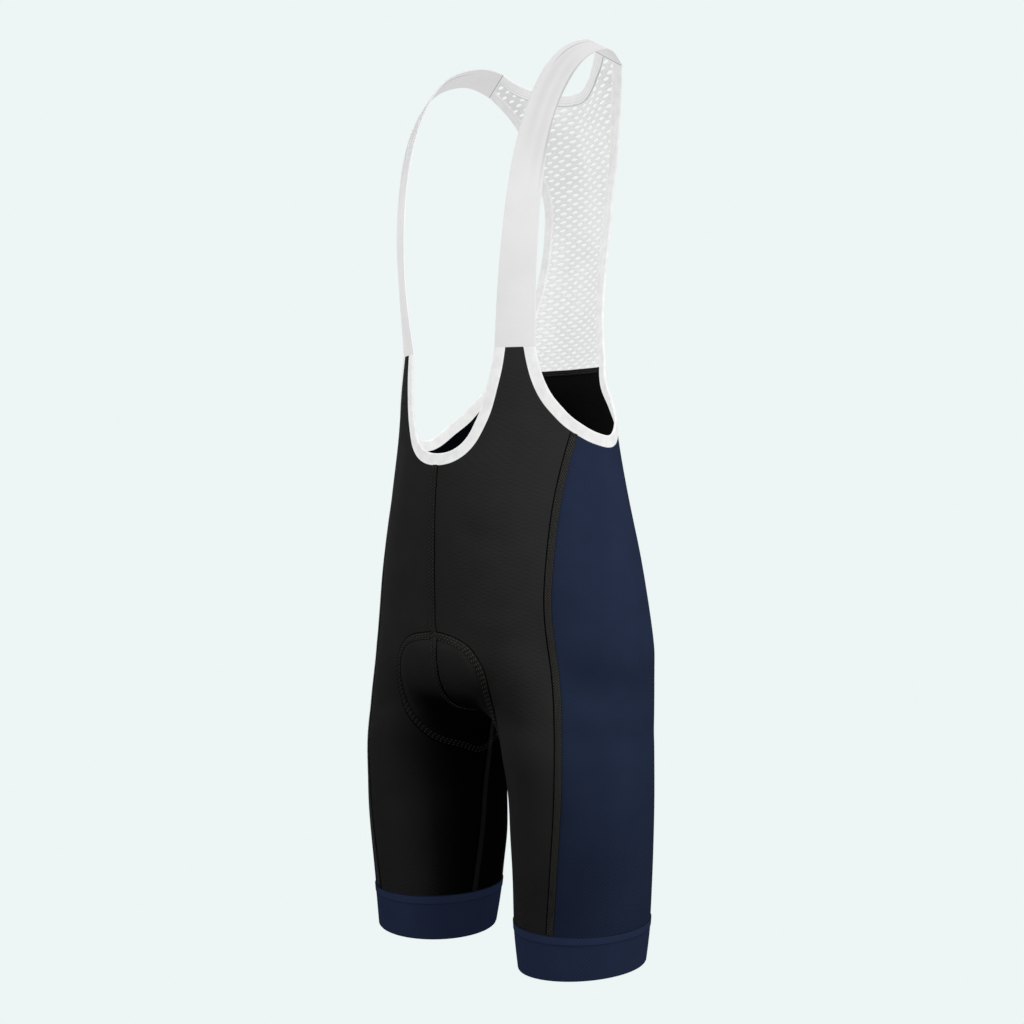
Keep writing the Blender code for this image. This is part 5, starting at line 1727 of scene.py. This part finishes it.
@dataclass(frozen=True)
class KnitFinish:
    """A knitted cloth: crossed ribs in height and shade, uneven patches, stripes and marks, a nap.

    Directions are degrees from across the cloth; pitches are in metres. Inside is the share of its
    colour that the inner face keeps: painted shade on the inner faces, painted light where it is
    above 1. Lip is the gain at the rim of a hole: a painted highlight on the holes' rims and painted
    shade round them. Painted glow is light that the cloth emits though it is no lamp, painted light
    that flattens the shading of pale parts and lifts stitches in shade. Several stripes are painted
    shade.
    """

    name: str
    colour: tuple[float, float, float, float]
    first: tuple[float, float]
    second: tuple[float, float]
    shade: float
    relief: float
    unevenness: float = 0.06
    patch_scale: float = 28.0
    sheen: float = 0.0
    # gain on the inner faces: painted shade below 1, painted light above 1
    inside: float = 1.0
    # painted light: strength of the light the cloth emits, though it is no lamp
    painted_glow: float = 0.0
    # gain on the lip mark: painted highlight on hole rims, painted shade round them
    lip: float = 1.0
    stripes: tuple[Stripe, ...] = ()
    marks: tuple[Marks, ...] = ()

    @staticmethod
    def _direction(degrees: float, pitch: float) -> tuple[float, float, float]:
        """Vector whose dot product with a place counts ribs."""
        turn = np.radians(degrees)
        return (float(np.cos(turn) / pitch), float(np.sin(turn) / pitch), 0.0)

    def _factors(
        self, fill: Tree, effects: Effects, flat: bpy.types.NodeSocket
    ) -> list[bpy.types.NodeSocket]:
        """Everything but the ribs that lightens or darkens the cloth."""
        low, high = 1 - self.unevenness, 1 + self.unevenness
        factors = [fill.group(effects.mottle, scale=self.patch_scale, low=low, high=high)]
        for tree, rows in ((effects.stripe, self.stripes), (effects.marks, self.marks)):
            factors += [fill.group(tree, place=flat, **asdict(row)) for row in rows]
        # Painted shade and light on the inner faces, and painted highlight and shade at the net's
        # holes.
        for name, gain in (("inside", self.inside), ("lip", self.lip)):
            if gain != 1:
                mask = fill.add("ShaderNodeAttribute", attribute_name=name).outputs["Fac"]
                factors.append(fill.gained(mask, gain))
        return factors

    def make(self, effects: Effects) -> bpy.types.Material:
        """The material, in the scene."""
        material = bpy.data.materials.new(self.name)
        material.use_nodes = True
        fill = Tree(material.node_tree)
        flat = fill.add("ShaderNodeUVMap", uv_map="Flat").outputs[0]
        ways = {"first": self._direction(*self.first), "second": self._direction(*self.second)}
        waves = fill.group(effects.waves, place=flat, **ways)
        shade = fill.math("MULTIPLY_ADD", waves, self.shade, 1 - self.shade / 2)
        for factor in self._factors(fill, effects, flat):
            shade = fill.math("MULTIPLY", shade, factor)
        inputs = {0: self.colour[:3], 3: shade}
        colour = fill.add("ShaderNodeVectorMath", inputs, operation="SCALE").outputs[0]
        inputs = {"Height": waves, "Distance": self.relief, "Strength": 1.0}
        cloth = {"Base Color": colour, "Normal": fill.add("ShaderNodeBump", inputs).outputs[0]}
        # Painted light: the cloth emits its own colour, though it is no lamp.
        if self.painted_glow > 0:
            cloth |= {"Emission Color": colour, "Emission Strength": self.painted_glow}
        cloth |= {"Roughness": CLOTH_ROUGHNESS, "Specular IOR Level": CLOTH_SPECULAR}
        cloth |= {"Sheen Weight": self.sheen, "Sheen Roughness": NAP_ROUGHNESS}
        fill.feed(material.node_tree.nodes["Principled BSDF"], cloth)
        return material


# Black and navy: inside darkens the inner faces, painted shade inside the shorts.
BLACK = KnitFinish(
    "black_knit", linear(43, 43, 43), (90.0, 0.0021), (72.0, 0.0039), 0.06, 0.00006,
    sheen=0.01, inside=0.15,
)
NAVY = KnitFinish(
    "navy_knit", linear(33, 42, 63), (45.0, 0.0026), (-45.0, 0.0026), 0.12, 0.00010,
    sheen=0.01, inside=0.05,
)
# Leg band: glow is painted light, and inside is painted shade on the inner face.
LEG_BAND = KnitFinish(
    "navy_band", linear(24, 31, 49), (45.0, 0.0028), (-45.0, 0.0028), 0.20, 0.00012,
    sheen=0.01, inside=0.05, painted_glow=0.74,
    stripes=(
        Stripe(-0.0041, 0.0037, 1.10),
        Stripe(-0.0003, 0.0003, 0.45),
        Stripe(-0.0084, 0.0002, 0.70),
    ),
    marks=(Marks(-0.0066, 0.0013, 5.0, 0.0028, 0.5, 0.0005, 1.35),),
)
# Straps: glow is painted light, and inside above 1 paints light onto the underside.
WEBBING = KnitFinish(
    "pale_webbing", linear(137, 137, 137), (0.0, 0.0012), (90.0, 0.0007), 0.05, 0.00008,
    unevenness=0.02, inside=1.28, painted_glow=2.27,
    # All painted shade but the last: the darker crest over the shoulder, a crease line by the neck
    # edge, two soft shaded bands and a dark line along the outer edge; the last is darker at the
    # strap's base end.
    stripes=(
        Stripe(0.0180, 0.0300, 0.80, 0.0010, 0.365, 0.090, 0.130),
        Stripe(0.0066, 0.0003, 0.66, 0.0006, 0.308, 0.014, 0.022),
        Stripe(0.0120, 0.0010, 0.93, 0.0050, 0.255, 0.030, 0.050),
        Stripe(0.0230, 0.0010, 0.95, 0.0040, 0.230, 0.040, 0.050),
        Stripe(0.0308, 0.0006, 0.76, 0.0012, 0.230, 0.035, 0.050),
        Stripe(0.0180, 0.0300, 0.93, 0.0010, 0.000, 0.0005, 0.0006),
    ),
)
# Net: glow is painted light; lip paints a highlight on each hole's rim; the stripe is painted shade,
# darker round the net's lower part.
NET_YARN = KnitFinish(
    "pale_net", linear(137, 137, 137), (0.0, 0.0012), (60.0, 0.0016), 0.07, 0.00010,
    unevenness=0.03, painted_glow=2.36, lip=1.28,
    stripes=(Stripe(-0.300, 0.020, 0.965, 0.060),),
)
# Bindings: glow is painted light, emitted by cloth that is no lamp.
BINDING = KnitFinish(
    "pale_binding", linear(124, 124.5, 124), (0.0, 0.0011), (90.0, 0.0013), 0.05, 0.00008,
    unevenness=0.06, patch_scale=110.0, painted_glow=3.28,
    stripes=(Stripe(0.0058, 0.0034, 0.95, 0.0012),),
)
NET_BINDING = replace(
    BINDING, name="pale_net_binding", unevenness=0.035, patch_scale=60.0, painted_glow=3.15,
    stripes=(
        Stripe(0.0056, 0.0003, 0.94, 0.0006),
        Stripe(0.0082, 0.0002, 0.90, 0.0005),
        # painted shadow: a dark line along the band's edge by the net
        Stripe(0.0114, 0.0004, 0.66, 0.0004),
    ),
)
JOIN = replace(
    BINDING, name="pale_join", colour=linear(130, 130, 131),
    unevenness=0.02, patch_scale=28.0, painted_glow=2.75,
    # glow is painted light; the stripes are painted shadow lines along both edges of the strip.
    stripes=(Stripe(0.0000, 0.0006, 0.52, 0.0004), Stripe(0.0038, 0.0003, 0.80, 0.0004)),
)
# Threads: glow is painted light, lifting the dark stitches in shade and flattening the pale ones.
THREAD = KnitFinish(
    "seam_thread", linear(65, 64, 62), (0.0, 0.0013), (0.0, 0.0013), 0.0, 0.00001, painted_glow=0.32
)
PALE_THREAD = replace(THREAD, name="pale_thread", colour=linear(118, 118, 119), painted_glow=2.80)
SEAM = replace(
    THREAD, name="black_seam", colour=linear(38, 38, 37), shade=0.25, relief=0.00010,
    inside=0.45, painted_glow=0.0,
    # The stripes darken the join's groove and the strip's far edge: dark join lines, deepened by
    # painted shade in these recesses. Inside is painted shade on the inner face.
    stripes=(Stripe(-0.0006, 0.0005, 0.05, 0.0003), Stripe(0.0069, 0.0002, 0.4, 0.0003)),
)


# ---------------------------------------------------------------- camera, light and stage


@dataclass(frozen=True)
class Lamp:
    """A square soft light; its place is to the right, towards the camera, and up."""

    name: str
    place: tuple[float, float, float]
    size: float
    power: float


@dataclass(frozen=True)
class Studio:
    """Camera, soft lights, pale surroundings and a plain pale floor."""

    azimuth: float = 46.0
    elevation: float = 1.1
    distance: float = 1.610
    lens: float = 56.6
    sensor: float = 36.0
    clip_end: float = 30.0
    centre: tuple[float, float, float] = (0.0, 0.0, -0.455)
    aim_height: float = -0.22
    spread: float = 50.0
    floor_height: float = -1.60
    floor_reach: float = 14.0
    surroundings: float = 0.03
    paper: tuple[float, float, float, float] = linear(238, 245, 245)
    lamps: tuple[Lamp, ...] = (
        Lamp("key", (1.75, 1.75, 2.00), 1.4, 13.5),
        Lamp("side", (-2.30, 0.66, 1.85), 1.3, 6.0),
        Lamp("top", (0.1, -0.3, 1.8), 1.2, 0.8),
        Lamp("back", (-0.70, -2.30, 1.50), 1.4, 4.0),
    )

    def _from_camera(self, right: float, near: float, up: float) -> Array:
        """A place given from the object's centre: to the right, towards the camera, and up."""
        turn = np.radians(self.azimuth)
        across = np.array([np.cos(turn), np.sin(turn), 0.0])
        towards = np.array([np.sin(turn), -np.cos(turn), 0.0])
        return np.array(self.centre) + across * right + towards * near + np.array([0, 0, up])

    def _aim(self, item: bpy.types.Object, place: Array, target: tuple[float, ...]) -> None:
        """Puts a camera or light at a place, looking at a target."""
        way = unit(np.array(target) - place)
        item.location = place.tolist()
        tip = float(np.arctan2(np.hypot(way[0], way[1]), -way[2]))
        item.rotation_euler = (tip, 0.0, float(np.arctan2(-way[0], way[1])))

    def add_camera(self) -> None:
        """The scene's camera."""
        data = bpy.data.cameras.new("camera")
        data.lens, data.sensor_width, data.clip_end = self.lens, self.sensor, self.clip_end
        camera = placed("camera", data)
        rise = np.radians(self.elevation)
        near, up = self.distance * np.cos(rise), self.distance * np.sin(rise)
        self._aim(camera, self._from_camera(0, near, up), self.centre)
        bpy.context.scene.camera = camera

    def add_light(self, lamp: Lamp) -> None:
        """One light, aimed at the chest and weaker away from there."""
        data = bpy.data.lights.new(lamp.name, "AREA")
        data.size, data.energy = lamp.size, lamp.power
        data.spread = float(np.radians(self.spread))
        place = self._from_camera(*lamp.place)
        self._aim(placed(lamp.name, data), place, (0.0, 0.0, self.aim_height))

    def add_world(self) -> None:
        """Pale surroundings: the paper's colour to the camera, a dimmer light to the object."""
        world = bpy.data.worlds.new("surroundings")
        world.use_nodes = True
        bpy.context.scene.world = world
        fill, nodes = Tree(world.node_tree), world.node_tree.nodes
        seen = fill.add("ShaderNodeBackground", {"Color": self.paper, "Strength": 1.0})
        dim = nodes["Background"]
        fill.feed(dim, {"Color": (1.0, 1.0, 1.0, 1.0), "Strength": self.surroundings})
        path = fill.add("ShaderNodeLightPath").outputs["Is Camera Ray"]
        mix = fill.add("ShaderNodeMixShader", {0: path, 1: dim.outputs[0], 2: seen.outputs[0]})
        fill.feed(nodes["World Output"], {"Surface": mix.outputs[0]})

    def add_floor(self) -> None:
        """A plain floor well below the hem, in the paper's colour."""
        mesh = bpy.data.meshes.new("floor")
        reach, low = self.floor_reach, self.floor_height
        signs = ((-1, -1), (1, -1), (1, 1), (-1, 1))
        mesh.from_pydata([(x * reach, y * reach, low) for x, y in signs], [], [(0, 1, 2, 3)])
        floor = placed("floor", mesh)
        material = bpy.data.materials.new("paper")
        material.use_nodes = True
        inputs = {"Base Color": (0.0, 0.0, 0.0, 1.0), "Specular IOR Level": 0.0}
        inputs |= {"Emission Color": self.paper, "Emission Strength": 1.0}
        Tree(material.node_tree).feed(material.node_tree.nodes["Principled BSDF"], inputs)
        mesh.materials.append(material)
        floor.visible_diffuse = False
        floor.visible_glossy = False

    def build(self) -> None:
        """Everything round the object."""
        self.add_camera()
        self.add_world()
        self.add_floor()
        for lamp in self.lamps:
            self.add_light(lamp)
        bpy.context.scene.view_settings.view_transform = "Standard"
        bpy.context.scene.view_settings.look = "None"


# ---------------------------------------------------------------- the whole


@dataclass(frozen=True)
class Cut:
    """Flat size of one piece of cloth before it was sewn: width, length and area."""

    width: float
    length: float
    area: float


PAIR_CUTS = {
    "front": Cut(0.185, 0.560, 0.062),
    "side": Cut(0.185, 0.450, 0.0625),
    "back": Cut(0.190, 0.540, 0.060),
    "gripper": Cut(0.355, 0.044, 0.0156),
    "strap": Cut(0.037, 0.335, 0.0123),
    "side_binding": Cut(0.012, 0.600, 0.0072),
}
CUTS = {f"{name}_{side.label}": cut for side in Side for name, cut in PAIR_CUTS.items()}
CUTS["net_back"] = Cut(0.200, 0.310, 0.030)
CUTS["neck_binding"] = Cut(0.012, 0.286, 0.0034)
CUTS["back_neck_binding"] = Cut(0.012, 0.182, 0.0021)


def main() -> None:
    """Builds and dresses the shorts, then the studio."""
    logging.basicConfig(level=logging.INFO, format="%(message)s")
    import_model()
    effects, pattern = Effects(), Pattern()
    made = Panels(pattern, BLACK.make(effects), NAVY.make(effects)).build()
    log.info("panels: %d", len(made))
    sewn = Seams(pattern, SEAM.make(effects), THREAD.make(effects)).build()
    log.info("strips and stitches of seams: %d", sum(map(len, sewn.values())))
    binding_finishes = [row.make(effects) for row in (BINDING, NET_BINDING, PALE_THREAD)]
    bindings = Bindings(pattern, *binding_finishes)
    made |= bindings.build()
    made |= Grippers(LEG_BAND.make(effects)).build()
    straps = Straps(WEBBING.make(effects), JOIN.make(effects))
    made |= straps.build()
    sewn |= {**bindings.stitches(), **straps.joins()}
    made["net_back"] = Net(pattern, NET_YARN.make(effects)).build()
    log.info("pieces of cloth: %d", len(made))
    Studio().build()


if __name__ == "__main__":
    main()
